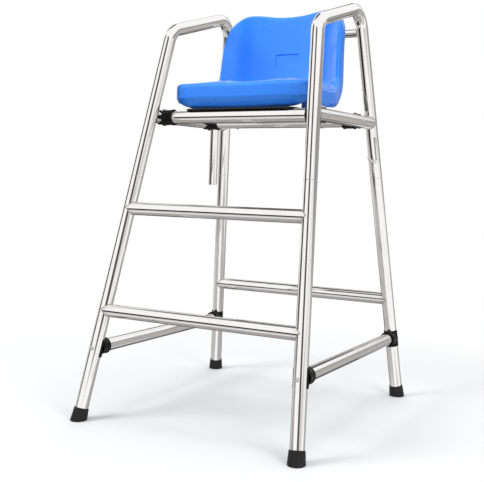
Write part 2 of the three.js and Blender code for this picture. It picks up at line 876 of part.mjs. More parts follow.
// A closed shell from an open skin: the skin, its copy set in by the wall, and a strip at the hem
function thickened({ positions, faces, hem }, wall) {
  const skin = new THREE.BufferGeometry().setFromPoints(positions);
  skin.setIndex(faces.flat());
  skin.computeVertexNormals();
  const normals = skin.getAttribute("normal");
  const inner = positions.map((place, i) =>
    place.clone().addScaledVector(new THREE.Vector3().fromBufferAttribute(normals, i), -wall),
  );
  const count = positions.length;
  const turned = faces.map(([a, b, c]) => [a + count, c + count, b + count]);
  const strip = hem.flatMap((a, i) => {
    const b = hem[(i + 1) % hem.length];
    return [
      [b, a, a + count],
      [b, a + count, b + count],
    ];
  });
  const shell = new THREE.BufferGeometry().setFromPoints([...positions, ...inner]);
  shell.setIndex([...faces, ...turned, ...strip].flat());
  return shell;
}

// The height of the pan's underside wall above a place, found on the middle of the wall
function panHeightAt(place) {
  let span = panSpan;
  const sideShare = place.x / seatHalf;
  for (let k = 0; k < bisections; k += 1) {
    const middle = (span[0] + span[1]) / 2;
    span = seatSurface(sideShare, middle).y < place.y ? [middle, span[1]] : [span[0], middle];
  }
  return seatSurface(sideShare, span[0]).z - seatWall / 2;
}

// The share of the way along the middle line at which the back stands at a height
function backShareAt(height) {
  let span = backSpan;
  for (let k = 0; k < bisections; k += 1) {
    const middle = (span[0] + span[1]) / 2;
    span = linePoint(middleLineShares, middle).z < height ? [middle, span[1]] : [span[0], middle];
  }
  return span[0];
}

function seatBoss({ at }) {
  const top = panHeightAt(at);
  return straightTube(at.clone().setZ(seatBottom), at.clone().setZ(top), bossDiameter / 2);
}

// The shallow rounded panel pressed into the back
function panelTool() {
  const share = backShareAt(seatBottom + panelRise);
  const face = linePoint(middleLineShares, share);
  const above = linePoint(middleLineShares, share + tangentStep).sub(face).normalize();
  const outward = new THREE.Vector3().crossVectors(point(1, 0, 0), above).normalize();
  const tool = new THREE.ExtrudeGeometry(roundedRectangle(panelWidth, panelHeight, panelCorner), {
    depth: seatWall + panelDepth,
    bevelEnabled: false,
    curveSegments: cornerSteps / 2,
  });
  const frame = frameAt(face.clone().addScaledVector(outward, -panelDepth), outward);
  return tool.applyMatrix4(frame);
}

function seatShell() {
  const shell = thickened(seatSkin(), seatWall);
  const bosses = seatScrewPlaces().map(seatBoss);
  const pilotRadius = screwRadius + fitClearance;
  const pilotTop = seatBottom + screwBite + fitClearance;
  const pilots = seatScrewPlaces().map(({ at }) =>
    roundTool(at, at.clone().setZ(pilotTop), pilotRadius, boltSides),
  );
  const body = cut(join(shell, ...bosses), ...pilots, panelTool());
  return makePiece("seat_shell", body, blueShell, frameAt(point(0, seatFrontSetback, seatBottom), UP));
}

function seat() {
  const group = new THREE.Group();
  SEAT_RAILS.forEach((rail) => {
    group.add(seatRail(rail));
    rail.joints.forEach((joint) => group.add(...jointPieces(joint)));
  });
  group.add(seatPlate(), seatShell());
  plateScrewPlaces().forEach(({ name, from, to }) => {
    group.add(screw(name + "_plate_screw", from, to.z - from.z));
  });
  seatScrewPlaces().forEach(({ name, at }) => {
    group.add(screw(name + "_seat_screw", at, seatBottom + screwBite - at.z));
  });
  return group;
}

// The level direction at an angle from +X, made square to a line
function squareTo(direction, degrees) {
  const level = point(Math.cos(radians(degrees)), Math.sin(radians(degrees)), 0);
  return level.addScaledVector(direction, -level.dot(direction)).normalize();
}

// Hook: a bent rod beside the rear right leg, with its shank along the leg and its tip slanting up
// in front of the leg
function hook() {
  const up = legDirectionOf(rearLegPoint, RIGHT);
  const stand = tubeRadius + weldGap + hookRod / 2;
  const top = rearLegPoint(RIGHT, hookTopHeight).addScaledVector(squareTo(up, hookSideDegrees), stand);
  const turn = radians(hookTurnDegrees);
  const slant = up.clone().multiplyScalar(-Math.cos(turn));
  slant.addScaledVector(squareTo(up, hookOpenDegrees), Math.sin(turn));
  const toCorner = hookBendRadius * Math.tan(turn / 2);
  const corner = top.clone().addScaledVector(up, -hookShank - toCorner);
  const end = corner.clone().addScaledVector(slant, toCorner + hookTip);
  const path = new BentPath([top, corner, end], hookBendRadius, 2 * bendSteps);
  return makePiece("hook", sweptTube(path, hookRod / 2, 0, boltSides), steel, frameAt(top, up.negate()));
}

// Pole sleeve: a short tube welded below the left side rail, in line with the rear leg
function poleSleeve() {
  const direction = legDirectionOf(rearLegPoint, LEFT).negate();
  const top = point(legX(LEFT, seatRailHeight), poleSleeveSetback, seatRailHeight);
  const bottom = top.clone().addScaledVector(direction, tubeRadius + poleSleeveLength);
  const rail = throughTool(
    frontLegPoint(LEFT, seatRailHeight),
    rearLegPoint(LEFT, seatRailHeight),
    tubeRadius + weldGap,
  );
  const tube = cut(straightTube(top, bottom, poleSleeveDiameter / 2, poleSleeveWall), rail);
  return makePiece("pole_sleeve", tube, steel, frameAt(top, direction));
}

const chair = new THREE.Group();
chair.add(...SIDES.map(sideFrame), crossMembers(), seat(), hook(), poleSleeve());

export default chair;
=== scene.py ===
"""Looks of a tall lifeguard chair: polished tube frame, black connectors and caps, a blue moulded bucket seat.

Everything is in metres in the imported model's frame: +Z up, +Y to the back, and left and right as seen by someone
who faces the chair. Lengths are typed in millimetres and turned into metres by MM.
"""

import json
import logging
import math
from dataclasses import dataclass, field
from enum import Enum

import bmesh
import bpy
import numpy as np
from mathutils import Matrix, Vector


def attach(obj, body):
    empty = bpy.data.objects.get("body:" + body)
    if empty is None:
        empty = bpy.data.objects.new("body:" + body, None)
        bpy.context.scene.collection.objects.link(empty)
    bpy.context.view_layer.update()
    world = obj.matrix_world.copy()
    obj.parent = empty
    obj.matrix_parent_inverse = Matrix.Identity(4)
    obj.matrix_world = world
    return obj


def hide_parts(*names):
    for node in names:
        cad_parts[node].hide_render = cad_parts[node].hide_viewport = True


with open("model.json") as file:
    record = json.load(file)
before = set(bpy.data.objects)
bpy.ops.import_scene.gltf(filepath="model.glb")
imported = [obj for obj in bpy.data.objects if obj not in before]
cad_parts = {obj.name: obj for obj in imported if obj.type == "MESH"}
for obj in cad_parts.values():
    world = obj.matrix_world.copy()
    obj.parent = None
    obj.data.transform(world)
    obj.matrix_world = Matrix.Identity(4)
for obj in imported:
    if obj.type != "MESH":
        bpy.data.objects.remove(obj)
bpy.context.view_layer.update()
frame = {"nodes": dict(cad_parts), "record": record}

MM = 0.001
BODY = "root"
# The gap that the CAD model keeps between pieces that touch
CLEARANCE = 0.3 * MM
# An edge is shaded sharp above this angle
SHARP_DEGREES = 38
# Points nearer to each other than this are merged
MERGE_DISTANCE = 1e-7
WHITE = (1, 1, 1, 1)
Array = np.ndarray
log = logging.getLogger("lifeguard_chair")


class Side(Enum):
    """The two side frames, as seen by someone who faces the chair."""

    LEFT = -1
    RIGHT = 1

    @property
    def label(self) -> str:
        """The side's word in the names of its pieces."""
        return self.name.lower()


class End(Enum):
    """The front or the rear leg of a side frame."""

    FRONT = "front"
    REAR = "rear"


class Slot(Enum):
    """The record's material slots."""

    STEEL = "polished_steel"
    FASTENER = "fastener_steel"
    NYLON = "black_nylon"
    RUBBER = "black_rubber"
    PAINT = "black_paint"
    SHELL = "blue_shell"


def unit(vectors: Array) -> Array:
    """Vectors divided by their own length, along the last axis."""
    return vectors / np.linalg.norm(vectors, axis=-1, keepdims=True)


def square_to(vector: Array, axis: Array) -> Array:
    """The unit part of a vector that stands square to a unit axis."""
    return unit(vector - np.sum(vector * axis, axis=-1, keepdims=True) * axis)


def vec(x: float, y: float, z: float) -> Array:
    """A point or direction."""
    return np.array([x, y, z], float)


def aside(axis: Array) -> Array:
    """A unit direction square to a unit axis: near +X, or near +Y for an axis close to X."""
    return square_to(vec(1, 0, 0) if abs(axis[0]) < 0.9 else vec(0, 1, 0), axis)


def quarter_turn(steps: int) -> Array:
    """Evenly spaced angles from 0 to a right angle."""
    return np.linspace(0, math.pi / 2, steps + 1)


def circle(sides: int) -> tuple[Array, Array]:
    """Cosines and sines of evenly spaced angles round a circle."""
    angle = np.linspace(0, 2 * math.pi, sides, endpoint=False)
    return np.cos(angle), np.sin(angle)


def turned(first: Array, second: Array, sides: int) -> Array:
    """Directions round a circle: the cosine of an angle times the first + its sine times the second.

    Args:
        first: where the angle 0 points, one direction or one for each circle.
        second: where a quarter turn points, likewise.
        sides: directions of a circle.

    Returns:
        The directions, sides by 3, or circles by sides by 3.
    """
    cos, sin = circle(sides)
    return cos[:, None] * first[..., None, :] + sin[:, None] * second[..., None, :]


def spokes(axis: Array, sides: int) -> Array:
    """Directions evenly spaced round a unit axis."""
    first = aside(axis)
    return turned(first, np.cross(axis, first), sides)


def bar_run(points: Array, origin: Array, axis: Array) -> Array:
    """Where points lie on a straight bar, for patterns.

    Args:
        points: places on the bar, 3 coordinates each.
        origin: the point of distance 0 on its axis.
        axis: its unit direction.

    Returns:
        For each point, the distance along the axis and the two section coordinates.
    """
    first = aside(axis)
    offset = points - origin
    return np.stack([offset @ axis, offset @ first, offset @ np.cross(axis, first)], axis=-1)


@dataclass
class Surface:
    """Points and quads, and where each point lies along and round its own bar.

    Args:
        points: places, one row each.
        quads: four point indices a row.
        run: for each point, the distance along its bar and the two section coordinates, for patterns.
        bead: for each point, how much of a weld bead's rough finish it has, from 0 to 1.
    """

    points: Array
    quads: Array
    run: Array
    bead: Array

    def facing_out(self) -> "Surface":
        """Turns a closed surface round where its signed volume says that its faces point inwards.

        Returns:
            The surface with its faces pointing out.
        """
        a, b, c, d = (self.points[self.quads[:, k]] for k in range(4))
        volume = np.sum(a * np.cross(b, c)) + np.sum(a * np.cross(c, d))
        quads = self.quads if volume > 0 else self.quads[:, ::-1]
        return Surface(self.points, quads, self.run, self.bead)


def quads_between(index: Array) -> Array:
    """The quads between neighbouring rows and columns of a table of point numbers."""
    return np.stack([index[:-1, :-1], index[:-1, 1:], index[1:, 1:], index[1:, :-1]], axis=-1).reshape(-1, 4)


def grid(points: Array, run: Array | None = None, closed: bool = False, bead: float = 0.0) -> Surface:
    """A surface from a grid of points: each quad joins two neighbours in both directions.

    Args:
        points: places, rows by columns by 3. The last column joins the first.
        run: pattern places of the same shape, or None for the places themselves.
        closed: whether the last row joins the first too.
        bead: the weld share of all points.

    Returns:
        The surface, with its faces pointing out where it is closed.
    """
    rows, columns = points.shape[:2]
    index = np.arange(rows * columns).reshape(rows, columns)
    if closed:
        index = np.vstack([index, index[:1]])
    index = np.hstack([index, index[:, :1]])
    flat = points.reshape(-1, 3)
    own = flat if run is None else run.reshape(-1, 3)
    return Surface(flat, quads_between(index), own, np.full(len(flat), bead)).facing_out()


def joined(surfaces: list[Surface]) -> Surface:
    """Several surfaces as one.

    Args:
        surfaces: the surfaces.

    Returns:
        The surface that holds the points of all of them.
    """
    offsets = np.cumsum([0] + [len(s.points) for s in surfaces[:-1]])
    return Surface(
        np.vstack([s.points for s in surfaces]),
        np.vstack([s.quads + shift for s, shift in zip(surfaces, offsets)]),
        np.vstack([s.run for s in surfaces]),
        np.concatenate([s.bead for s in surfaces]),
    )


# Shapes


def arc(before: Array, corner: Array, after: Array, radius: float, steps: int) -> tuple[Array, Array]:
    """The arc that rounds a corner and touches both its edges.

    Args:
        before: a point on the edge that comes in.
        corner: the corner.
        after: a point on the edge that goes out.
        radius: the arc's radius.
        steps: its pieces.

    Returns:
        The arc's points and its unit directions there: start + radius times (sine along the edge in + 1 less the
        cosine inwards).
    """
    into, out = unit(corner - before), unit(after - corner)
    turn = math.acos(float(np.clip(into @ out, -1, 1)))
    inward = square_to(out, into)
    angle = np.linspace(0, turn, steps + 1)[:, None]
    start = corner - into * radius * math.tan(turn / 2)
    places = start + radius * (np.sin(angle) * into + (1 - np.cos(angle)) * inward)
    return places, np.cos(angle) * into + np.sin(angle) * inward


def filleted(corners: list[tuple[float, float]], radii: list[float], steps: int = 5, closed: bool = False) -> Array:
    """A flat outline whose corners are rounded: each corner gives way to an arc that touches both its edges.

    Args:
        corners: the outline's corners.
        radii: the rounding of each corner, 0 for a sharp one.
        steps: pieces of each arc.
        closed: whether the outline closes on itself, and its first and last corners are rounded too.

    Returns:
        The outline's points, one row each.
    """
    places = np.array(corners, float)
    made: list[Array] = []
    for i, radius in enumerate(radii):
        if radius <= 0 or (not closed and i in (0, len(places) - 1)):
            made.append(places[i : i + 1])
        else:
            made.append(arc(places[i - 1], places[i], places[(i + 1) % len(places)], radius, steps)[0])
    return np.vstack(made)


def revolved(profile: Array, origin: Array, axis: Array, sides: int) -> Surface:
    """A profile of radius and height, carried round an axis.

    Args:
        profile: radius and height, one row each.
        origin: the point of height 0.
        axis: the unit direction of growing height.
        sides: steps round the axis.

    Returns:
        The surface: origin + height times the axis + radius times a direction that turns round it.
    """
    radius, height = profile.T[..., None, None]
    points = origin + height * axis + radius * spokes(axis, sides)
    return grid(points, bar_run(points, origin, axis))


def domed(base: Array, way: Array, radius: float, height: float, shank: float, length: float) -> Surface:
    """A dome-headed fastener: an ellipse over a short rim, then the shank.

    Args:
        base: the middle of the head's underside.
        way: the unit direction of the shank.
        radius: radius of the head.
        height: height of the head.
        shank: radius of the shank.
        length: length of the shank.

    Returns:
        The closed fastener.
    """
    angle = quarter_turn(8)
    rim = height / 4
    dome = np.stack([radius * np.sin(angle), -rim - (height - rim) * np.cos(angle)], axis=1)
    foot = filleted([(radius, -rim), (radius, 0), (shank, 0), (shank, length), (0, length)], [0, rim / 2, 0, 0, 0])
    return revolved(np.vstack([dome, foot[1:]]), base, way, 24)


@dataclass(frozen=True)
class Track:
    """A line in one plane: places and directions, and the normal of the plane.

    Args:
        places: points of the line, one row each.
        tangents: unit directions there.
        normal: the plane's unit normal.
    """

    places: Array
    tangents: Array
    normal: Array

    @staticmethod
    def straight(start: Array, end: Array) -> "Track":
        """A straight line from one point to another."""
        way = unit(end - start)
        return Track(np.stack([start, end]), np.stack([way, way]), aside(way))

    @staticmethod
    def bent(corners: list[Array], radius: float, steps: int = 24) -> "Track":
        """Straight runs through corners that are rounded by arcs.

        Args:
            corners: the first point, the corners and the last point, all in one plane.
            radius: radius of the arcs.
            steps: pieces of each arc.

        Returns:
            The line, with the plane's normal.
        """
        arcs = [arc(*three, radius, steps) for three in zip(corners, corners[1:], corners[2:])]
        into, out = unit(corners[1] - corners[0]), unit(corners[-1] - corners[-2])
        places = np.vstack([corners[0], *(places for places, _ in arcs), corners[-1]])
        tangents = np.vstack([into, *(ways for _, ways in arcs), out])
        return Track(places, tangents, unit(np.cross(into, corners[2] - corners[1])))

    @property
    def lengths(self) -> Array:
        """The distance along the line to each place."""
        steps = np.linalg.norm(np.diff(self.places, axis=0), axis=1)
        return np.concatenate([[0], np.cumsum(steps)])

    def rings(self, radius: float | Array, sides: int) -> tuple[Array, Array]:
        """Circles round the line: place + radius times (cos of the normal + sin of the binormal).

        Args:
            radius: one radius, or one for each place.
            sides: points of a circle.

        Returns:
            The places of the circles' points, and their pattern places.
        """
        size = np.broadcast_to(radius, (len(self.places),))[:, None]
        spoke = turned(self.normal, np.cross(self.tangents, self.normal), sides)
        points = self.places[:, None, :] + size[..., None] * spoke
        across = (size * part for part in circle(sides))
        return points, np.stack(np.broadcast_arrays(self.lengths[:, None], *across), axis=-1)


def tube(track: Track, radius: float, wall: float, ease: float, sides: int) -> Surface:
    """A tube with eased ends: rings of the outer radius along the track, and of the inner radius back.

    Args:
        track: the axis.
        radius: outer radius.
        wall: wall thickness.
        ease: how far the outer edge of each end is broken.
        sides: points of a ring.

    Returns:
        The closed surface of the wall.
    """
    places, tangents = track.places, track.tangents
    near = places[0] + ease * tangents[0]
    far = places[-1] - ease * tangents[-1]
    outer = Track(
        np.vstack([places[:1], near, places[1:-1], far, places[-1:]]),
        np.vstack([tangents[:1], tangents[0], tangents[1:-1], tangents[-1], tangents[-1:]]),
        track.normal,
    )
    sizes = np.full(len(outer.places), radius)
    sizes[[0, -1]] = radius - ease
    outside, outside_run = outer.rings(sizes, sides)
    inside, inside_run = track.rings(radius - wall, sides)
    points = np.concatenate([outside, inside[::-1]])
    return grid(points, np.concatenate([outside_run, inside_run[::-1]]), True)


@dataclass(frozen=True)
class Host:
    """A tube that others end on.

    Args:
        place: a point on its axis.
        axis: its unit direction.
        radius: its outer radius.
    """

    place: Array
    axis: Array
    radius: float

    def crossing(self, start: Array, way: Array, far: bool, gap: float = 0.0) -> Array:
        """How far along lines from some points a straight line meets the tube.

        The distance from the axis is a quadratic in the way gone, so it solves one quadratic for each line. A line
        that misses the tube gives the place where it passes closest.

        Args:
            start: the lines' first points, one row each.
            way: their common unit direction.
            far: True for the place where a line leaves the tube, False for where it enters.
            gap: how far the surface stands off from the tube.

        Returns:
            One distance for each line.
        """
        offset = start - self.place
        offset = offset - (offset @ self.axis)[..., None] * self.axis
        cross = way - (way @ self.axis) * self.axis
        a = cross @ cross
        b = 2 * (offset @ cross)
        c = np.sum(offset * offset, axis=-1) - (self.radius + gap) ** 2
        root = np.sqrt(np.maximum(b * b - 4 * a * c, 0))
        return (-b + (root if far else -root)) / (2 * a)

    def normal_at(self, places: Array) -> Array:
        """Outward unit normals of the tube beside some points."""
        offset = places - self.place
        return unit(offset - (offset @ self.axis)[..., None] * self.axis)


@dataclass(frozen=True)
class Weld:
    """A weld bead round a coped end: a small round section with ripples, carried round the meeting line.

    Args:
        size: radius of the bead.
        ripples: how many ripples go round.
        depth: share by which a ripple changes the radius.
        sides: points of the section.
        fineness: points of the bead for each line of its bar.
        tint: how much of the bead's finish the heated steel beside it has.
        heat: the rings of a bar between two beads: the share of the way, and the share of the tint.
    """

    size: float = 1.3 * MM
    ripples: int = 60
    depth: float = 0.09
    sides: int = 10
    fineness: int = 5
    tint: float = 0.35
    heat: tuple = ((0, 1), (0.004, 0.7), (0.03, 0), (0.5, 0), (0.97, 0), (0.996, 0.7), (1, 1))

    def bead(self, line: Array, first_normals: Array, second_normals: Array) -> Surface:
        """The bead on a closed line between two surfaces, pushed out between their normals.

        Args:
            line: the meeting line, one point a row.
            first_normals: outward normals of one surface along it.
            second_normals: outward normals of the other.

        Returns:
            The closed bead.
        """
        tangent = unit(np.roll(line, -1, axis=0) - np.roll(line, 1, axis=0))
        away = square_to(first_normals + second_normals, tangent)
        ripple = np.abs(np.sin(math.pi * self.ripples * np.arange(len(line)) / len(line)))
        size = self.size * (1 + self.depth * (2 * ripple - 1))
        points = line[:, None, :] + size[:, None, None] * turned(away, np.cross(tangent, away), self.sides)
        return grid(points, None, True, bead=1.0)

    def on_host(self, start: Array, way: Array, radius: float, host: Host, far: bool, sides: int) -> Surface:
        """The bead where a bar ends on a host.

        Args:
            start: a point on the bar's axis.
            way: its unit direction.
            radius: its outer radius.
            host: the tube that it ends on.
            far: whether the bar's lines leave the host there, and don't enter it.
            sides: points of the meeting line.

        Returns:
            The closed bead.
        """
        spoke = spokes(way, sides)
        line = start + radius * spoke
        line = line + host.crossing(line, way, far)[:, None] * way
        return self.bead(line, spoke, host.normal_at(line))


def coped_bar(
    start: Array, end: Array, radius: float, wall: float, hosts: tuple[Host, Host], weld: Weld, sides: int = 72
) -> Surface:
    """A straight tube between two others, each of its lines ending where it meets them, with a bead at both ends.

    Args:
        start: the axis' point on the first host's axis.
        end: the axis' point on the second host's axis.
        radius: outer radius.
        wall: wall thickness.
        hosts: the two tubes.
        weld: the bead.
        sides: lines round the tube.

    Returns:
        The closed bar and its two beads.
    """
    way = unit(end - start)
    shares, heat = np.array(weld.heat).T[..., None]
    skins = []
    for size in (radius, radius - wall):
        line = start + size * spokes(way, sides)
        near = hosts[0].crossing(line, way, True, CLEARANCE)
        far = hosts[1].crossing(line, way, False, CLEARANCE)
        skins.append(line + (near + (far - near) * shares)[..., None] * way)
    points = np.concatenate([skins[0], skins[1][::-1]])
    bar = grid(points, bar_run(points, start, way), True)
    tint = (heat * np.ones(sides) * weld.tint).ravel()
    bar.bead[: tint.size] = tint
    ends = zip(hosts, (True, False))
    return joined([bar, *(weld.on_host(start, way, radius, host, far, sides * weld.fineness) for host, far in ends)])


# Shader maths


@dataclass
class Signal:
    """A shader socket that can be added, taken away and multiplied like a number."""

    tree: bpy.types.NodeTree
    socket: bpy.types.NodeSocket

    def _math(self, operation: str, other: "Signal | float", swap: bool = False) -> "Signal":
        """One Math node of this value and another, in either order."""
        pair = (other, self) if swap else (self, other)
        return Bench(self.tree).node("ShaderNodeMath", {"operation": operation}, {0: pair[0], 1: pair[1]})

    def __add__(self, other: "Signal | float") -> "Signal":
        """The sum."""
        return self._math("ADD", other)

    __radd__ = __add__

    def __mul__(self, other: "Signal | float") -> "Signal":
        """The product."""
        return self._math("MULTIPLY", other)

    __rmul__ = __mul__

    def __sub__(self, other: "Signal | float") -> "Signal":
        """The difference."""
        return self._math("SUBTRACT", other)

    def __rsub__(self, other: "Signal | float") -> "Signal":
        """The difference from a number."""
        return self._math("SUBTRACT", other, swap=True)

    def bent(self, operation: str) -> "Signal":
        """This value through a Math node of one input, such as SINE or ABSOLUTE."""
        return Bench(self.tree).node("ShaderNodeMath", {"operation": operation}, {0: self})

    def above(self, low: float, high: float) -> "Signal":
        """0 below low, 1 above high, and a smooth rise between."""
        settings = {"interpolation_type": "SMOOTHSTEP"}
        return Bench(self.tree).node("ShaderNodeMapRange", settings, {"Value": self, "From Min": low, "From Max": high})

    def between(self, low: float, high: float) -> "Signal":
        """This value, from 0 to 1, mapped on a range."""
        return self * (high - low) + low


@dataclass
class Bench:
    """A node tree with one way to add a node."""

    tree: bpy.types.NodeTree

    def node(self, kind: str, settings: dict, values: dict, out: int | str = 0) -> Signal:
        """Adds a node: its settings first, then the values or links of its sockets.

        Args:
            kind: the node's type.
            settings: its own properties, which are set first.
            values: numbers, colours or signals by socket.
            out: which of its outputs is returned.

        Returns:
            That output.
        """
        made = self.tree.nodes.new(kind)
        for key, value in settings.items():
            setattr(made, key, value)
        for key, value in values.items():
            if isinstance(value, Signal):
                self.tree.links.new(value.socket, made.inputs[key])
            else:
                made.inputs[key].default_value = value
        return Signal(self.tree, made.outputs[out])

    @staticmethod
    def cleared(owner: bpy.types.Material | bpy.types.World) -> "Bench":
        """Empties the node tree of a material or a world.

        Args:
            owner: the material or world.

        Returns:
            Its empty tree.
        """
        owner.use_nodes = True
        owner.node_tree.nodes.clear()
        return Bench(owner.node_tree)

    def send(self, shader: Signal, output: str) -> None:
        """Adds the output node and links a shader to it."""
        self.tree.links.new(shader.socket, self.tree.nodes.new(output).inputs["Surface"])

    def noise(self, place: Signal, scale: float, detail: float = 2.0, roughness: float = 0.5) -> Signal:
        """Noise from 0 to 1 at a place."""
        values = {"Vector": place, "Scale": scale, "Detail": detail, "Roughness": roughness}
        return self.node("ShaderNodeTexNoise", {}, values)

    def stretched(self, place: Signal, scales: tuple[float, float, float]) -> Signal:
        """A place whose three coordinates are scaled each by its own factor."""
        return self.node("ShaderNodeVectorMath", {"operation": "MULTIPLY"}, {0: place, 1: scales})

    def mixed(self, share: Signal, first: tuple | Signal, second: tuple | Signal) -> Signal:
        """A colour between two, by a share."""
        return self.node("ShaderNodeMix", {"data_type": "RGBA"}, {0: share, 6: first, 7: second}, out=2)

    def object_place(self) -> Signal:
        """Object coordinates."""
        return self.node("ShaderNodeTexCoord", {}, {}, out="Object")

    def attribute(self, name: str, out: str) -> Signal:
        """A mesh attribute."""
        return self.node("ShaderNodeAttribute", {"attribute_name": name}, {}, out=out)

    def vector(self, operation: str, first: Signal, *second: tuple | Signal) -> Signal:
        """The number that a Vector Math node gives, such as a length, a distance or a dot product."""
        values = dict(enumerate((first, *second)))
        return self.node("ShaderNodeVectorMath", {"operation": operation}, values, out="Value")

    def ray(self, kind: str) -> Signal:
        """1 for rays of a kind, such as camera rays, and 0 for others."""
        return self.node("ShaderNodeLightPath", {}, {}, out=kind)

    def bump(self, height: Signal, strength: float, distance: float, below: Signal | None = None) -> Signal:
        """A normal bent by a height.

        Args:
            height: the relief.
            strength: its share.
            distance: how high its 1 stands.
            below: another bump that this one lies on, or None.

        Returns:
            The normal.
        """
        values: dict = {"Height": height, "Strength": strength, "Distance": distance}
        if below is not None:
            values["Normal"] = below
        return self.node("ShaderNodeBump", {}, values)


def linear(red: int, green: int, blue: int) -> tuple[float, float, float, float]:
    """An 8-bit screen colour as the linear colour that a shader takes.

    Args:
        red: its red, up to 255.
        green: its green.
        blue: its blue.

    Returns:
        The linear colour with an alpha of 1, by the screen's standard curve.
    """
    shares = np.array([red, green, blue]) / 255
    low, high = shares / 12.92, ((shares + 0.055) / 1.055) ** 2.4
    return (*np.where(shares <= 0.04045, low, high).tolist(), 1.0)


@dataclass(frozen=True)
class Finish:
    """What all finishes share: a named material with one Principled shader.

    Args:
        title: the material's name, which no material of the loaded frame has.
    """

    title: str

    def uniform(self) -> dict:
        """Socket values that are the same all over the surface."""
        return {}

    def varied(self, bench: Bench) -> dict:
        """Socket signals that change over the surface."""
        raise NotImplementedError

    def material(self) -> bpy.types.Material:
        """Makes the Blender material, or finds it where it is made already.

        Returns:
            The material.
        """
        found = bpy.data.materials.get(self.title)
        if found:
            return found
        made = bpy.data.materials.new(self.title)
        bench = Bench.cleared(made)
        shader = bench.node("ShaderNodeBsdfPrincipled", {}, {**self.uniform(), **self.varied(bench)})
        bench.send(shader, "ShaderNodeOutputMaterial")
        return made


@dataclass(frozen=True)
class PolishedSteel(Finish):
    """Polished stainless tube: bright, with fine lines round the tube, faint streaks along it and dull weld beads.

    Args:
        bright: its colour where it is clean.
        dull: its colour under streaks and smears.
        tint: the colour of a weld.
        smooth: roughness where it is clean.
        smeared: roughness under streaks and smears.
        welded: roughness that a weld adds.
        streaks: scales of the streaks, along the tube and across it.
        rings: scales of the lines round the tube.
        waves: scales of the slow waves.
    """

    title: str = "tube_finish"
    bright: tuple = (0.88, 0.875, 0.87, 1)
    dull: tuple = (0.74, 0.735, 0.73, 1)
    tint: tuple = (0.50, 0.46, 0.42, 1)
    smooth: float = 0.045
    smeared: float = 0.085
    welded: float = 0.22
    streaks: tuple = (6, 420, 420)
    rings: tuple = (2600, 60, 60)
    waves: tuple = (9, 30, 30)

    def uniform(self) -> dict:
        """A full metal."""
        return {"Metallic": 1.0}

    def varied(self, bench: Bench) -> dict:
        """Streaks and smears in the colour and the gloss; rings, ripples and slow waves in the relief.

        Args:
            bench: the material's node tree.

        Returns:
            The signals by socket.
        """
        run = bench.attribute("run", "Vector")
        bead = bench.attribute("bead", "Fac")
        streaks = bench.noise(bench.stretched(run, self.streaks), 1.0, 3.0)
        rings = bench.noise(bench.stretched(run, self.rings), 1.0, 2.0)
        smears = bench.noise(bench.object_place(), 14.0, 4.0, 0.6).above(0.45, 0.75)
        waves = bench.noise(bench.stretched(run, self.waves), 1.0, 1.0)
        colour = bench.mixed(streaks * 0.5 + smears * 0.35, self.bright, self.dull)
        rough = (streaks * 0.5 + smears * 0.5).between(self.smooth, self.smeared) + bead * self.welded
        relief = bench.bump(waves, 0.01, 0.4 * MM)
        relief = bench.bump(rings, 0.03, 0.05 * MM, relief)
        return {"Base Color": bench.mixed(bead, colour, self.tint), "Roughness": rough, "Normal": relief}


@dataclass(frozen=True)
class FastenerSteel(Finish):
    """Bright plated bolts and screws with dull spots and a fine grain.

    Args:
        bright: its colour where it is clean.
        dull: its colour in spots.
        smooth: roughness where it is clean.
        spotted: roughness in spots.
    """

    title: str = "fastener_finish"
    bright: tuple = (0.80, 0.80, 0.80, 1)
    dull: tuple = (0.55, 0.55, 0.56, 1)
    smooth: float = 0.14
    spotted: float = 0.34

    def uniform(self) -> dict:
        """A full metal."""
        return {"Metallic": 1.0}

    def varied(self, bench: Bench) -> dict:
        """Spots in the colour and the gloss, and a fine relief.

        Args:
            bench: the material's node tree.

        Returns:
            The signals by socket.
        """
        place = bench.object_place()
        spots = bench.noise(place, 260.0, 3.0)
        grain = bench.noise(place, 2400.0, 2.0)
        return {
            "Base Color": bench.mixed(spots, self.bright, self.dull),
            "Roughness": spots.between(self.smooth, self.spotted),
            "Normal": bench.bump(grain, 0.1, 0.1 * MM),
        }


@dataclass(frozen=True)
class DarkMoulding(Finish):
    """A black moulded or painted finish with a fine skin and pale scuffs.

    Args:
        base: its colour.
        scuff: the colour of worn spots.
        gloss: roughness where it is clean.
        matt: roughness where it is worn.
        pebble: scale of the skin's relief.
        depth: depth of that relief.
        shine: strength of its reflections.
    """

    base: tuple = (0.005, 0.0048, 0.005, 1)
    scuff: tuple = (0.02, 0.019, 0.02, 1)
    gloss: float = 0.28
    matt: float = 0.5
    pebble: float = 900.0
    depth: float = 0.12 * MM
    shine: float = 0.15

    def uniform(self) -> dict:
        """How strongly it reflects."""
        return {"Specular IOR Level": self.shine}

    def varied(self, bench: Bench) -> dict:
        """Worn spots in the colour and the gloss, and the skin's relief.

        Args:
            bench: the material's node tree.

        Returns:
            The signals by socket.
        """
        place = bench.object_place()
        worn = bench.noise(place, 42.0, 5.0, 0.65).above(0.55, 0.8)
        dust = bench.noise(place, 9.0, 3.0).above(0.4, 0.8)
        skin = bench.noise(place, self.pebble, 2.0)
        return {
            "Base Color": bench.mixed(worn * 0.6 + dust * 0.25, self.base, self.scuff),
            "Roughness": (worn * 0.6 + dust * 0.4).between(self.gloss, self.matt),
            "Normal": bench.bump(skin, 0.25, self.depth),
        }


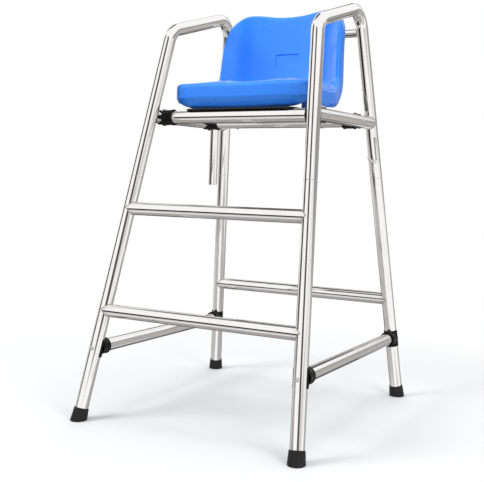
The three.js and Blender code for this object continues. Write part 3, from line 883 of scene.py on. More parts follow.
@dataclass(frozen=True)
class BlueShell(Finish):
    """Blue blow-moulded shell: semi-gloss with an orange-peel skin, slow cloudiness, rubbed places and scratches.

    Args:
        body: its colour.
        cloud: its colour in slow clouds.
        rubbed: its colour where it is rubbed or scratched.
        sheen: the tint of its reflections.
        gloss: roughness where it is clean.
        matt: roughness where it is rubbed.
        scratches: scales of the scratches.
        vent_shade: the middle of a small dark spot on the front lip, painted shade for an air hole the skin lacks.
        vent_shade_edge: radii between which the painted shade fades out.
        vent_shade_colour: the colour of the painted shade.
    """

    title: str = "shell_finish"
    body: tuple = linear(44, 124, 240)
    cloud: tuple = linear(52, 132, 243)
    rubbed: tuple = linear(76, 150, 247)
    sheen: tuple = (0.4, 0.85, 1.0, 1)
    gloss: float = 0.24
    matt: float = 0.42
    scratches: tuple = (18, 260, 120)
    vent_shade: tuple = (-0.084, -0.0915, 0.9377)
    vent_shade_edge: tuple = (1.8 * MM, 3.2 * MM)
    vent_shade_colour: tuple = linear(8, 24, 60)

    def uniform(self) -> dict:
        """A thin glossy skin over the body."""
        return {"Coat Weight": 0.18, "Coat Roughness": 0.1, "Specular IOR Level": 0.75, "Specular Tint": self.sheen}

    def varied(self, bench: Bench) -> dict:
        """Clouds and rubbed places in the colour and the gloss, scratches and orange peel in the relief.

        Args:
            bench: the material's node tree.

        Returns:
            The signals by socket.
        """
        place = bench.object_place()
        clouds = bench.noise(place, 5.0, 3.0)
        rubs = bench.noise(place, 22.0, 5.0, 0.62).above(0.56, 0.8)
        lines = bench.noise(bench.stretched(place, self.scratches), 1.0, 4.0, 0.7).above(0.66, 0.72)
        peel = bench.noise(place, 520.0, 1.5)
        swell = bench.noise(place, 26.0, 1.0)
        colour = bench.mixed(clouds, self.body, self.cloud)
        colour = bench.mixed(rubs * 0.3 + lines * 0.12, colour, self.rubbed)
        # Painted shade: a small dark spot on the front lip for the inside of an air hole that the skin lacks.
        vent_shade = 1 - bench.vector("DISTANCE", place, self.vent_shade).above(*self.vent_shade_edge)
        relief = bench.bump(swell, 0.12, 1.2 * MM)
        relief = bench.bump(peel, 0.12, 0.12 * MM, relief)
        relief = bench.bump(lines, 0.06, 0.05 * MM, relief)
        return {
            "Base Color": bench.mixed(vent_shade * 0.85, colour, self.vent_shade_colour),
            "Roughness": (clouds * 0.4 + rubs * 0.6).between(self.gloss, self.matt) + lines * 0.08,
            "Normal": relief,
        }


FINISHES: dict[Slot, Finish] = {
    Slot.STEEL: PolishedSteel(),
    Slot.FASTENER: FastenerSteel(),
    Slot.NYLON: DarkMoulding(title="nylon_finish", gloss=0.14, matt=0.32),
    Slot.RUBBER: DarkMoulding(
        title="rubber_finish", base=(0.0105, 0.0095, 0.01, 1), gloss=0.48, matt=0.72, pebble=600.0, shine=0.32
    ),
    Slot.PAINT: DarkMoulding(title="paint_finish", gloss=0.34, pebble=1400.0, depth=0.05 * MM, shine=0.45),
    Slot.SHELL: BlueShell(),
}


# Pieces


def add_piece(node: str, form: str, surface: Surface, slot: Slot) -> bpy.types.Object:
    """Makes a mesh object that rides on the chair and stands for a CAD node.

    Args:
        node: the CAD node that it replaces.
        form: the word that its own name adds to the node's.
        surface: its closed surfaces.
        slot: the record's material slot, which gives its finish.

    Returns:
        The object, at the origin, with its place in its mesh.
    """
    name = f"{node}_{form}"
    mesh = bpy.data.meshes.new(name)
    mesh.from_pydata(surface.points, [], surface.quads.tolist())
    for title, kind, key, values in (
        ("run", "FLOAT_VECTOR", "vector", surface.run),
        ("bead", "FLOAT", "value", surface.bead),
    ):
        mesh.attributes.new(title, kind, "POINT").data.foreach_set(key, values.astype(np.float32).ravel())
    close_poles(mesh)
    mesh.shade_smooth()
    mesh.set_sharp_from_angle(angle=math.radians(SHARP_DEGREES))
    mesh.materials.append(FINISHES[slot].material())
    piece = bpy.data.objects.new(name, mesh)
    bpy.context.scene.collection.objects.link(piece)
    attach(piece, BODY)
    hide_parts(node)
    log.info("%s: %d faces", name, len(mesh.polygons))
    return piece


def close_poles(mesh: bpy.types.Mesh) -> None:
    """Merges the points that fall on one another, so that poles and seams are closed.

    Args:
        mesh: the mesh that is mended.
    """
    work = bmesh.new()
    work.from_mesh(mesh)
    bmesh.ops.remove_doubles(work, verts=work.verts, dist=MERGE_DISTANCE)
    bmesh.ops.dissolve_degenerate(work, edges=work.edges, dist=MERGE_DISTANCE)
    work.to_mesh(mesh)
    work.free()
    mesh.update()


# The frame of tubes


@dataclass(frozen=True)
class Stance:
    """Where the legs stand and how they lean.

    Args:
        track: distance of the foot axes from side to side.
        base: distance of the foot axes from front to back.
        lean: how far the side frames lean in, in degrees.
        front_rake: how far a front leg leans back, in degrees.
        rear_rake: how far a rear leg leans forward, in degrees.
        tube_radius: outer radius of the frame's tubes.
        tube_wall: their wall.
        rail_height: height of the rails' axes.
        cap_floor: thickness of a foot cap under its leg.
    """

    track: float = 696 * MM
    base: float = 771 * MM
    lean: float = 5.28
    front_rake: float = 14.5
    rear_rake: float = 6.67
    tube_radius: float = 19 * MM
    tube_wall: float = 1.5 * MM
    rail_height: float = 885 * MM
    cap_floor: float = 6 * MM

    def leg_x(self, side: Side, height: float) -> float:
        """Sideways place of a leg's axis at a height."""
        return side.value * (self.track / 2 - math.tan(math.radians(self.lean)) * height)

    def leg(self, end: End, side: Side, height: float) -> Array:
        """A point on a leg's axis.

        Args:
            end: front or rear.
            side: the side frame.
            height: the point's height.

        Returns:
            The point.
        """
        if end is End.FRONT:
            back = -self.base / 2 + math.tan(math.radians(self.front_rake)) * height
        else:
            back = self.base / 2 - math.tan(math.radians(self.rear_rake)) * height
        return vec(self.leg_x(side, height), back, height)

    def leg_way(self, end: End, side: Side) -> Array:
        """The direction of a leg, upwards."""
        return unit(self.leg(end, side, 1.0) - self.leg(end, side, 0.0))

    def host(self, end: End, side: Side) -> Host:
        """A leg as a tube that others end on."""
        return Host(self.leg(end, side, 0.0), self.leg_way(end, side), self.tube_radius)


@dataclass(frozen=True)
class Joint:
    """A bolted joint: a host tube, a branch tube that ends in a saddle's collar, and a bolt through both.

    Args:
        name: what the joint's pieces are named after.
        place: the joint's point on the host's axis.
        host_way: the host's unit direction.
        branch: the branch's unit direction, away from the host.
        collar_length: how far the collar stands out of the saddle.
        tube_radius: outer radius of both tubes.
        clearance: the gap between the joint's pieces.
        wall: wall of the saddle.
        head_radius: radius of the bolt's head.
    """

    name: str
    place: Array
    host_way: Array
    branch: Array
    collar_length: float
    tube_radius: float
    clearance: float = CLEARANCE
    wall: float = 2.8 * MM
    head_radius: float = 6 * MM

    @property
    def square(self) -> Array:
        """The branch's direction made square to the host."""
        return square_to(self.branch, self.host_way)

    @property
    def tilt(self) -> float:
        """How far the branch leans from square, in radians."""
        return math.acos(min(1.0, float(self.branch @ self.square)))

    @property
    def inner(self) -> float:
        """Inner radius of the saddle."""
        return self.tube_radius + self.clearance

    @property
    def outer(self) -> float:
        """Outer radius of the saddle."""
        return self.inner + self.wall

    @property
    def stop(self) -> float:
        """Where the collar's bore ends, from the host's axis."""
        return (self.outer + self.tube_radius * math.sin(self.tilt)) / math.cos(self.tilt)

    @property
    def tube_start(self) -> float:
        """Where the branch tube starts, from the host's axis."""
        return self.stop + self.clearance

    @property
    def collar_end(self) -> float:
        """Where the collar ends, from the host's axis."""
        return (self.outer + self.collar_length) / math.cos(self.tilt)

    @property
    def head_face(self) -> float:
        """Where the bolt's head rests on the far side of the host."""
        return -(self.inner + self.head_radius * math.sin(self.tilt)) / math.cos(self.tilt)

    def along(self, distance: float) -> Array:
        """A point on the branch's axis."""
        return self.place + distance * self.branch


@dataclass
class TubeFrame:
    """The two side frames and the bars between them, all of polished tube.

    Args:
        stance: where the legs stand.
        front_seam, rear_seam: heights of the seams in the legs.
        arm_front, arm_rear: heights of the armrest's corners, before their bends.
        bend: radius of both bends.
        lower_rung, upper_rung: heights of the two steps.
        rear_crossbar, rear_top_bar: heights of the two bars between the rear legs.
        top_bar_radius: outer radius of the upper of these.
        ease: how far the edges of the tubes' ends are broken.
        sides: lines round a tube.
        weld: the bead at welded ends.
    """

    stance: Stance
    front_seam: float = 703 * MM
    rear_seam: float = 714 * MM
    arm_front: float = 1145 * MM
    arm_rear: float = 1238 * MM
    bend: float = 57 * MM
    lower_rung: float = 313 * MM
    upper_rung: float = 610 * MM
    rear_crossbar: float = 324 * MM
    rear_top_bar: float = 1162 * MM
    top_bar_radius: float = 12.5 * MM
    ease: float = 0.7 * MM
    sides: int = 72
    weld: Weld = field(default_factory=Weld)

    def seam(self, end: End) -> float:
        """Height of the seam in a leg."""
        return self.front_seam if end is End.FRONT else self.rear_seam

    def foot_height(self, end: End, side: Side) -> float:
        """How high a leg tube's lower end stands."""
        tilt = math.acos(self.stance.leg_way(end, side)[2])
        return self.stance.cap_floor + CLEARANCE + self.stance.tube_radius * math.sin(tilt)

    def hoop(self, side: Side) -> Surface:
        """The bent armrest tube with its upper legs.

        Args:
            side: the side frame.

        Returns:
            The tube from seam to seam.
        """
        s = self.stance
        corners = [
            s.leg(End.FRONT, side, self.front_seam + CLEARANCE),
            s.leg(End.FRONT, side, self.arm_front),
            s.leg(End.REAR, side, self.arm_rear),
            s.leg(End.REAR, side, self.rear_seam + CLEARANCE),
        ]
        return tube(Track.bent(corners, self.bend), s.tube_radius, s.tube_wall, self.ease, self.sides)

    def lower_leg(self, end: End, side: Side) -> Surface:
        """The straight tube below a seam.

        Args:
            end: front or rear.
            side: the side frame.

        Returns:
            The tube from the foot cap's floor to the seam.
        """
        s = self.stance
        track = Track.straight(s.leg(end, side, self.foot_height(end, side)), s.leg(end, side, self.seam(end)))
        return tube(track, s.tube_radius, s.tube_wall, self.ease, self.sides)

    def bar(self, legs: tuple[tuple[End, Side], tuple[End, Side]], height: float, radius: float) -> Surface:
        """A bar welded between two legs.

        Args:
            legs: the two legs.
            height: height of its axis.
            radius: its outer radius.

        Returns:
            The bar with its beads.
        """
        s = self.stance
        ends = (s.leg(*leg, height) for leg in legs)
        hosts = (s.host(*legs[0]), s.host(*legs[1]))
        return coped_bar(*ends, radius, s.tube_wall, hosts, self.weld, self.sides)

    def build(self) -> None:
        """Makes and dresses every tube of the frame."""
        s = self.stance
        tubes: dict[str, Surface] = {}
        for side in Side:
            tubes[f"{side.label}_hoop"] = self.hoop(side)
            legs = ((End.FRONT, side), (End.REAR, side))
            tubes[f"{side.label}_side_rail"] = self.bar(legs, s.rail_height, s.tube_radius)
            for end in End:
                tubes[f"{end.value}_{side.label}_leg"] = self.lower_leg(end, side)
        for name, end, height, radius in (
            ("lower_rung", End.FRONT, self.lower_rung, s.tube_radius),
            ("upper_rung", End.FRONT, self.upper_rung, s.tube_radius),
            ("rear_crossbar", End.REAR, self.rear_crossbar, s.tube_radius),
            ("rear_top_bar", End.REAR, self.rear_top_bar, self.top_bar_radius),
        ):
            tubes[name] = self.bar(((end, Side.LEFT), (end, Side.RIGHT)), height, radius)
        for node, surface in tubes.items():
            add_piece(node, "tube", surface, Slot.STEEL)


@dataclass
class BoltedJoints:
    """The saddles, bolts and branch tubes of the braces and the seat rails.

    Args:
        stance: where the legs stand.
        rail_setbacks: places of the seat rails' axes from front to back.
        rail_collar, brace_collar: how far the collars of the rails' and the braces' saddles stand out.
        brace_heights: where the braces meet the legs.
        saddle_length: length of a saddle along its host.
        collar_radius: outer radius of a collar.
        lip_rise, lip_length, lip_rounds: height and length of the lip at its end, and roundings of its three edges.
        flare, flare_length, flare_steps: how much wider the collar is at the saddle, over what length, in what steps.
        root_sink: how far the flare sinks into the saddle.
        root_share: the least distance of the flare's root from the host's axis, as a share of the saddle's radius.
        edge, inner_edge: roundings of the saddle's outer and inner edges.
        wrap_steps: steps of the saddle round its host.
        head_height, bolt_radius, bolt_bite: height of a bolt's head, radius of its shank, and its reach into its plug.
        ease: how far the edges of the tubes' ends are broken.
        sides: lines round a tube or a collar.
    """

    stance: Stance
    rail_setbacks: dict[str, float] = field(default_factory=lambda: {"front": -97.5 * MM, "rear": 166.5 * MM})
    rail_collar: float = 22 * MM
    brace_collar: float = 18 * MM
    brace_heights: dict[End, float] = field(default_factory=lambda: {End.FRONT: 206 * MM, End.REAR: 195 * MM})
    saddle_length: float = 52 * MM
    collar_radius: float = 23 * MM
    lip_rise: float = 1.2 * MM
    lip_length: float = 5 * MM
    lip_rounds: tuple = (0.6 * MM, 0.9 * MM, 0.6 * MM)
    flare: float = 2.5 * MM
    flare_length: float = 5 * MM
    flare_steps: int = 6
    root_sink: float = 0.4 * MM
    root_share: float = 0.35
    edge: float = 1.0 * MM
    inner_edge: float = 0.3 * MM
    wrap_steps: int = 32
    head_height: float = 5 * MM
    bolt_radius: float = 3 * MM
    bolt_bite: float = 12 * MM
    ease: float = 0.7 * MM
    sides: int = 72

    def rail_joints(self, row: str) -> list[Joint]:
        """The two joints of a seat rail.

        Args:
            row: the front or the rear rail.

        Returns:
            Its left and its right joint.
        """
        s = self.stance
        made = []
        for side in Side:
            place = vec(s.leg_x(side, s.rail_height), self.rail_setbacks[row], s.rail_height)
            way, inward = vec(0, 1, 0), vec(-side.value, 0, 0)
            made.append(Joint(f"{side.label}_{row}_seat_rail", place, way, inward, self.rail_collar, s.tube_radius))
        return made

    def brace_joints(self, side: Side) -> list[Joint]:
        """The two joints of a brace.

        Args:
            side: the side frame.

        Returns:
            Its front and its rear joint.
        """
        s = self.stance
        places = {end: s.leg(end, side, self.brace_heights[end]) for end in End}
        run = unit(places[End.REAR] - places[End.FRONT])
        made = []
        for end, way in ((End.FRONT, run), (End.REAR, -run)):
            name = f"{side.label}_{end.value}_brace"
            made.append(Joint(name, places[end], s.leg_way(end, side), way, self.brace_collar, s.tube_radius))
        return made

    def shell(self, joint: Joint) -> Surface:
        """The saddle's half shell: a rounded strip section carried half way round the host tube.

        The section's points are a radius and a height along the host; the last few steps at both ends are drawn in
        by a quarter circle, so the long edges are round.

        Args:
            joint: the joint.

        Returns:
            The closed half shell.
        """
        half = self.saddle_length / 2
        box = [(joint.inner, -half), (joint.outer, -half), (joint.outer, half), (joint.inner, half)]
        section = filleted(box, [self.inner_edge, self.edge, self.edge, self.inner_edge], 4, closed=True)
        middle = np.array([(joint.inner + joint.outer) / 2, 0])
        quarter = quarter_turn(3)
        inset = self.edge * (1 - np.sin(quarter))
        reach = self.edge * np.cos(quarter) / joint.outer
        angles = np.linspace(-math.pi / 2, math.pi / 2, self.wrap_steps + 1)
        turn = np.concatenate([angles[0] - reach, angles[1:-1], angles[-1] + reach[::-1]])
        draw = np.concatenate([inset, np.zeros(len(angles) - 2), inset[::-1]])
        rings = section + draw[:, None, None] * np.sign(middle - section)
        pole = np.broadcast_to(middle, rings[:1].shape)
        rings = np.concatenate([pole, rings, pole])
        turn = np.concatenate([turn[:1], turn, turn[-1:]])[:, None]
        out = np.cos(turn) * joint.square + np.sin(turn) * np.cross(joint.host_way, joint.square)
        return grid(joint.place + rings[..., :1] * out[:, None, :] + rings[..., 1:] * joint.host_way)

    def collar(self, joint: Joint) -> Surface:
        """The collar: a lipped ring round the branch, each of whose lines starts on the saddle's outside.

        Its radius flares by a quarter ellipse towards the saddle, and its rows are the flare, the barrel, the lip,
        the end face and the bore.

        Args:
            joint: the joint.

        Returns:
            The closed ring.
        """
        first = unit(np.cross(joint.host_way, joint.branch))
        spoke = turned(first, np.cross(joint.branch, first), self.sides)
        host = Host(joint.place, joint.host_way, joint.outer)
        share = np.linspace(0, 1, self.flare_steps + 1)
        flare = self.flare * (1 - np.sqrt(1 - (1 - share) ** 2))
        root = host.crossing(joint.place + self.collar_radius * spoke, joint.branch, True)
        root = np.maximum(root, self.root_share * joint.outer) - self.root_sink
        rows = [(self.collar_radius + f, root + s * self.flare_length) for f, s in zip(flare, share)]
        end, lip = joint.collar_end, self.collar_radius + self.lip_rise
        outline = [
            (self.collar_radius, end - self.lip_length - self.lip_rise),
            (lip, end - self.lip_length),
            (lip, end),
            (joint.inner, end),
            (joint.inner, joint.tube_start),
        ]
        ring = filleted(outline, [0, *self.lip_rounds, 0], 4)
        rows += [(radius, np.full(self.sides, place)) for radius, place in ring]
        points = np.stack([joint.place + radius * spoke + reach[:, None] * joint.branch for radius, reach in rows])
        return grid(points, None, True)

    def dress(self, joint: Joint) -> None:
        """Makes a joint's saddle and its bolt.

        Args:
            joint: the joint.
        """
        add_piece(joint.name + "_saddle", "moulding", joined([self.shell(joint), self.collar(joint)]), Slot.NYLON)
        length = joint.tube_start - joint.head_face + self.bolt_bite
        head = joint.along(joint.head_face)
        bolt = domed(head, joint.branch, joint.head_radius, self.head_height, self.bolt_radius, length)
        add_piece(joint.name + "_bolt", "head", bolt, Slot.FASTENER)

    def branch(self, first: Joint, second: Joint) -> Surface:
        """The tube between two joints."""
        track = Track.straight(first.along(first.tube_start), second.along(second.tube_start))
        return tube(track, self.stance.tube_radius, self.stance.tube_wall, self.ease, self.sides)

    def build(self) -> None:
        """Makes and dresses the braces and the seat rails with their joints."""
        rows = {f"{side.label}_brace": self.brace_joints(side) for side in Side}
        rows |= {f"{row}_seat_rail": self.rail_joints(row) for row in self.rail_setbacks}
        for node, joints in rows.items():
            add_piece(node, "tube", self.branch(*joints), Slot.STEEL)
            for joint in joints:
                self.dress(joint)


@dataclass
class FootCaps:
    """The four rubber caps, flared towards the floor and cut level with it.

    Args:
        stance: where the legs stand.
        height: height of a cap along its leg.
        base_radius, top_radius, bore: outer radius at the floor and at the top, and radius of the bore.
        base_round: rounding of the edge at the floor.
        top_rounds: roundings of the outer and the inner edge at the top.
        draft: how much wider the wall is where the outer rounding starts.
        wall_shares: rows of the wall, as shares of its height.
        round_share, bore_share: where the outer rounding's row and the bore's first row lie, as shares of the height.
        sides: lines round a cap.
    """

    stance: Stance
    height: float = 36 * MM
    base_radius: float = 24 * MM
    top_radius: float = 21.3 * MM
    bore: float = 19.3 * MM
    base_round: float = 1.4 * MM
    top_rounds: tuple = (1.1 * MM, 0.5 * MM)
    draft: float = 0.15 * MM
    wall_shares: tuple = (0.3, 0.6, 0.86)
    round_share: float = 0.9
    bore_share: float = 0.8
    sides: int = 64

    def cap(self, end: End, side: Side) -> Surface:
        """A cup along the leg: each of its lines runs from the top ring to where it meets the floor.

        The rows are the underside's middle, its rounded edge, the wall, the rounded top, the bore and its floor.

        Args:
            end: front or rear.
            side: the side frame.

        Returns:
            The closed cap.
        """
        way = self.stance.leg_way(end, side)
        base = self.stance.leg(end, side, 0)
        spoke = spokes(way, self.sides)
        wall = way - (self.base_radius - self.top_radius) / self.height * spoke
        foot = base + self.base_radius * spoke
        meet = -foot[:, 2] / wall[:, 2]
        rows = [np.broadcast_to(base, foot.shape)]
        for turn in quarter_turn(4):
            inset, rise = self.base_round * (1 - math.sin(turn)), self.base_round * (1 - math.cos(turn))
            rows.append(foot + (meet + rise)[:, None] * wall - inset * spoke)
        rows += [foot + (meet + share * (self.height - meet))[:, None] * wall for share in self.wall_shares]
        outline = [
            (self.top_radius + self.draft, self.height * self.round_share),
            (self.top_radius, self.height),
            (self.bore, self.height),
            (self.bore, self.height * self.bore_share),
        ]
        top = filleted(outline, [0, *self.top_rounds, 0], 4)
        lift = (self.stance.cap_floor + CLEARANCE) / way[2] + self.bore * math.tan(math.acos(way[2]))
        top = np.vstack([top, (self.bore, lift), (0, lift)])
        rows += [base + radius * spoke + height * way for radius, height in top]
        points = np.stack(rows)
        points[..., 2] = np.maximum(points[..., 2], 0)
        return grid(points)

    def build(self) -> None:
        """Makes and dresses the caps."""
        for side in Side:
            for end in End:
                add_piece(f"{end.value}_{side.label}_foot_cap", "rubber", self.cap(end, side), Slot.RUBBER)


# Seat


def spline(values: Array, shares: Array) -> Array:
    """A smooth line through evenly spaced stations: the natural cubic spline.

    Args:
        values: one value a station.
        shares: where to read it, 0 at the first station and 1 at the last.

    Returns:
        The values there.
    """
    values = np.asarray(values, float)
    count = len(values)
    lines = np.eye(count)
    for i in range(1, count - 1):
        lines[i, i - 1 : i + 2] = (1, 4, 1)
    right = np.zeros(count)
    right[1:-1] = 6 * (values[2:] - 2 * values[1:-1] + values[:-2])
    bend = np.linalg.solve(lines, right)
    place = np.clip(shares, 0, 1) * (count - 1)
    i = np.minimum(place.astype(int), count - 2)
    t = place - i
    a, b = values[i], values[i + 1]
    pull = ((1 - t) ** 3 - (1 - t)) * bend[i] + (t**3 - t) * bend[i + 1]
    return (1 - t) * a + t * b + pull / 6


@dataclass
class BucketSeat:
    """The moulded bucket seat: a dished surface between a middle and a rim line, with a turned-down edge.

    Args:
        bottom: height of its underside.
        front: place of its front edge.
        width: its width.
        depth, height: what the first and the second column of both lines are shares of.
        wall: its wall.
        rim: radius of the round between the surface and its turned-down edge.
        front_corner, top_corner: roundings of the outline's corners.
        bolster_rise, bolster_power: height of the raised shoulders, and what moves their crest sideways.
        dish_power: how steeply the surface rises from the middle line to the rim line.
        hem_round, hem_rise: width over which the front hem rises at both ends, and how far.
        face_drops: heights of the turned edge's face at the front, the pan's sides, the back's sides and the top.
        tuck_drops, tuck_insets: height of the tucked band below it and how far it draws in, at the same four.
        middle_line, rim_line: ten stations of the line in the middle and of that at the sides, front edge to top.
        bolster_shares: share of the raised shoulders at each station.
        turn_shares: how far the edge turns from facing down to facing back, at each station.
        width_shares: share of the width at each station.
        panel_size, panel_rise: width and height of the pressed panel, and its middle's height above the underside.
        panel_depth, panel_corner, panel_edge: its depth, the rounding of its corners and the width of its slope.
        back_search: shares of the way between which the panel's place is searched for, and how many are tried.
        length_steps: places of the middle line from which its length is summed.
        rows, columns, corner_rows: rows between the rounded corners, even columns, and rows in a corner.
        fine_row, fine_column, fine_count: steps at the panel's border, and how many of them on each side of it.
        small: the shares' step for directions.
        crease: how much of the face and the tucked band the soft crease takes.
        face_shares, crease_shares, tuck_shares: where the rows of the face, the crease and the tucked band lie.
        boss_radius, boss_round: radius of the bosses below the pan, and rounding of their lower edge.
        boss_spread, boss_insets: their distance from side to side, and from the front edge.
    """

    bottom: float = 909.6 * MM
    front: float = -96.5 * MM
    width: float = 452 * MM
    depth: float = 325 * MM
    height: float = 316 * MM
    wall: float = 5 * MM
    rim: float = 13 * MM
    front_corner: float = 12 * MM
    top_corner: float = 60 * MM
    bolster_rise: float = 11 * MM
    bolster_power: float = 1.3
    dish_power: float = 3.2
    hem_round: float = 70 * MM
    hem_rise: float = 16 * MM
    face_drops: tuple = (30 * MM, 30 * MM, 19 * MM, 12 * MM)
    tuck_drops: tuple = (32.5 * MM, 12 * MM, 9 * MM, 7 * MM)
    tuck_insets: tuple = (15 * MM, 5 * MM, 4 * MM, 3 * MM)
    middle_line: tuple = (
        (0.04, 0.241), (0.16, 0.258), (0.34, 0.27), (0.54, 0.262), (0.75, 0.235),
        (0.87, 0.245), (0.925, 0.33), (0.955, 0.55), (0.972, 0.76), (0.985, 0.955),
    )
    rim_line: tuple = (
        (0.04, 0.241), (0.16, 0.222), (0.34, 0.2), (0.54, 0.205), (0.64, 0.24),
        (0.7, 0.3), (0.73, 0.37), (0.755, 0.56), (0.807, 0.78), (0.89, 1),
    )
    bolster_shares: tuple = (0.15, 0.5, 1, 1.05, 0.55, 0.2, 0, 0, 0.1, 0.7)
    turn_shares: tuple = (0, 0, 0, 0.08, 0.3, 0.62, 0.85, 1, 1, 1)
    width_shares: tuple = (1, 1, 1, 1, 0.985, 0.96, 0.94, 0.925, 0.905, 0.88)
    panel_size: tuple = (80 * MM, 30 * MM)
    panel_rise: float = 174.5 * MM
    panel_depth: float = 3.8 * MM
    panel_corner: float = 4 * MM
    panel_edge: float = 2.8 * MM
    back_search: tuple = (0.6, 1, 2000)
    length_steps: int = 400
    rows: int = 150
    columns: int = 120
    corner_rows: int = 12
    fine_row: float = 0.6 * MM
    fine_column: float = 0.8 * MM
    fine_count: int = 4
    small: float = 0.002
    crease: float = 0.03
    face_shares: tuple = (0.25, 0.5, 0.75, 0.9)
    crease_shares: tuple = (0.25, 0.5, 0.75)
    tuck_shares: tuple = (0.1, 0.4, 0.7, 1.0)
    boss_radius: float = 14 * MM
    boss_round: float = 1.0 * MM
    boss_spread: float = 230 * MM
    boss_insets: dict[str, float] = field(default_factory=lambda: {"front": 66 * MM, "rear": 216 * MM})

    @property
    def grid_size(self) -> int:
        """How many points the dished grid has."""
        return len(self.row_shares()) * len(self.side_shares())

    @property
    def half(self) -> float:
        """Half the width of the surface inside the rim's round."""
        return self.width / 2 - self.rim

    @property
    def line_length(self) -> float:
        """Sums the small steps of the middle line.

        Returns:
            The length of the line.
        """
        line = np.array(self.middle_line) * (self.depth, self.height)
        shares = np.linspace(0, 1, self.length_steps)
        places = np.stack([spline(line[:, 0], shares), spline(line[:, 1], shares)], axis=1)
        return float(np.sum(np.linalg.norm(np.diff(places, axis=0), axis=1)))

    def surface(self, side: Array, line: Array) -> Array:
        """The dished surface.

        A place between the middle and the rim line, by the side share's size to a power, raised by the bolster,
        which is the squared sine of a bent side share.

        Args:
            side: side shares, from -1 to 1.
            line: shares of the way from the front edge over the pan and up the back.

        Returns:
            Points, one row each.
        """
        size = np.abs(side)
        dish = size**self.dish_power
        bump = np.sin(math.pi * size**self.bolster_power) ** 2
        middle = (spline(column, line) for column in np.array(self.middle_line).T)
        rim = (spline(column, line) for column in np.array(self.rim_line).T)
        back, up = ((1 - dish) * inner + dish * outer for inner, outer in zip(middle, rim))
        across = side * self.half * spline(self.width_shares, line)
        lift = self.bolster_rise * spline(self.bolster_shares, line) * bump
        return np.stack([across, self.front + back * self.depth, self.bottom + up * self.height + lift], axis=-1)

    def outline(self, line: Array) -> tuple[Array, Array, Array]:
        """The rounded outline at shares of the way.

        Args:
            line: shares of the way.

        Returns:
            The half width as a share, the angle by which the edge faces the front or the top, and whether it is
            the front.
        """
        from_front = line * self.line_length
        from_top = (1 - line) * self.line_length
        to_front = from_front < self.front_corner
        corner = np.where(to_front, self.front_corner, self.top_corner)
        reach = np.minimum(1, np.where(to_front, from_front, from_top) / corner)
        angle = np.arcsin(1 - reach)
        return 1 - corner * (1 - np.cos(angle)) / self.half, angle, to_front

    def row_shares(self) -> Array:
        """The rows' places.

        Returns:
            Shares of the way, closer together at the rounded corners and round the panel.
        """
        turn = quarter_turn(self.corner_rows)
        front = self.front_corner / self.line_length * (1 - np.cos(turn))
        top = 1 - self.top_corner / self.line_length * (1 - np.cos(turn[::-1]))
        inner = np.linspace(front[-1], top[0], self.rows)[1:-1]
        reach = self.panel_size[1] / 2 / self.line_length
        near = self.beside(self.panel_share(), reach, self.fine_row / self.line_length)
        return np.unique(np.concatenate([front, inner, top, near]))

    def side_shares(self) -> Array:
        """Side shares of the columns, closer together at the panel's sides."""
        near = self.beside(0, self.panel_size[0] / 2 / self.half, self.fine_column / self.half)
        return np.unique(np.concatenate([np.linspace(-1, 1, self.columns + 1), near]))

    def beside(self, middle: float, reach: float, step: float) -> Array:
        """Shares close together at a distance on both sides of a middle share."""
        fine = step * np.arange(-self.fine_count, self.fine_count + 1)
        return np.concatenate([middle - reach + fine, middle + reach + fine])

    def panel_share(self) -> float:
        """The panel's place on the back's middle line.

        Returns:
            The share of the way at which that line stands at the panel's height.
        """
        shares = np.linspace(*self.back_search)
        heights = spline(np.array(self.middle_line)[:, 1], shares) * self.height
        return float(shares[np.argmin(np.abs(heights - self.panel_rise))])

    def directions(self, side: Array, line: Array) -> tuple[Array, Array]:
        """Directions on the surface, by small differences.

        Args:
            side: side shares.
            line: shares of the way.

        Returns:
            Unit directions across the surface and ahead on it.
        """
        low, high = np.maximum(0, line - self.small), np.minimum(1, line + self.small)
        left, right = np.maximum(-1, side - self.small), np.minimum(1, side + self.small)
        ahead = unit(self.surface(side, high) - self.surface(side, low))
        across = unit(self.surface(right, line) - self.surface(left, line))
        return across, ahead

    def edge_rows(self, side: Array, line: Array) -> Array:
        """The turned edge round the outline: a quarter round, a face and a tucked band with a soft crease.

        Args:
            side: side shares of the outline's points.
            line: their shares of the way.

        Returns:
            Rows of points, from the surface to the hem.
        """
        half, angle, to_front = self.outline(line)
        inner = side * half
        place = self.surface(inner, line)
        across, ahead = self.directions(inner, line)
        sign = np.where(side < 0, -1.0, 1.0)
        toward = np.where(to_front, -1.0, 1.0)
        outward = (sign * np.cos(angle))[:, None] * across + (toward * np.sin(angle))[:, None] * ahead
        share = np.sin(angle) ** 2
        turn = spline(self.turn_shares, line)
        down = np.stack([np.zeros_like(turn), np.sin(turn * math.pi / 2), -np.cos(turn * math.pi / 2)], axis=1)
        out = square_to(outward, down)
        front, top = np.where(to_front, share, 0), np.where(to_front, 0, share)
        rest = 1 - front - top
        weights = np.stack([front, rest * (1 - turn), rest * turn, top], axis=1)
        face, tuck, inset = (weights @ np.array(t) for t in (self.face_drops, self.tuck_drops, self.tuck_insets))
        flat = np.maximum(0, np.abs(place[:, 0]) - (self.half - self.hem_round)) / self.hem_round
        tuck = tuck - np.where(to_front, self.hem_rise * share * flat**2, 0)
        quarter = quarter_turn(8)[1:, None, None]
        rows = place + self.rim * (np.sin(quarter) * out + (1 - np.cos(quarter)) * down)
        base = rows[-1]
        crease, hem = face[:, None] * down, (face + tuck)[:, None] * down - inset[:, None] * out
        stations = (self.face_shares, self.crease_shares, self.tuck_shares)
        reach, bend, tail = (np.array(shares)[:, None, None] for shares in stations)
        before, after = (1 - self.crease) * crease, crease + self.crease * (hem - crease)
        soft = (1 - bend) ** 2 * before + 2 * bend * (1 - bend) * crease + bend**2 * after
        return np.concatenate([rows, base + reach * crease, base + soft, base + crease + tail * (hem - crease)])

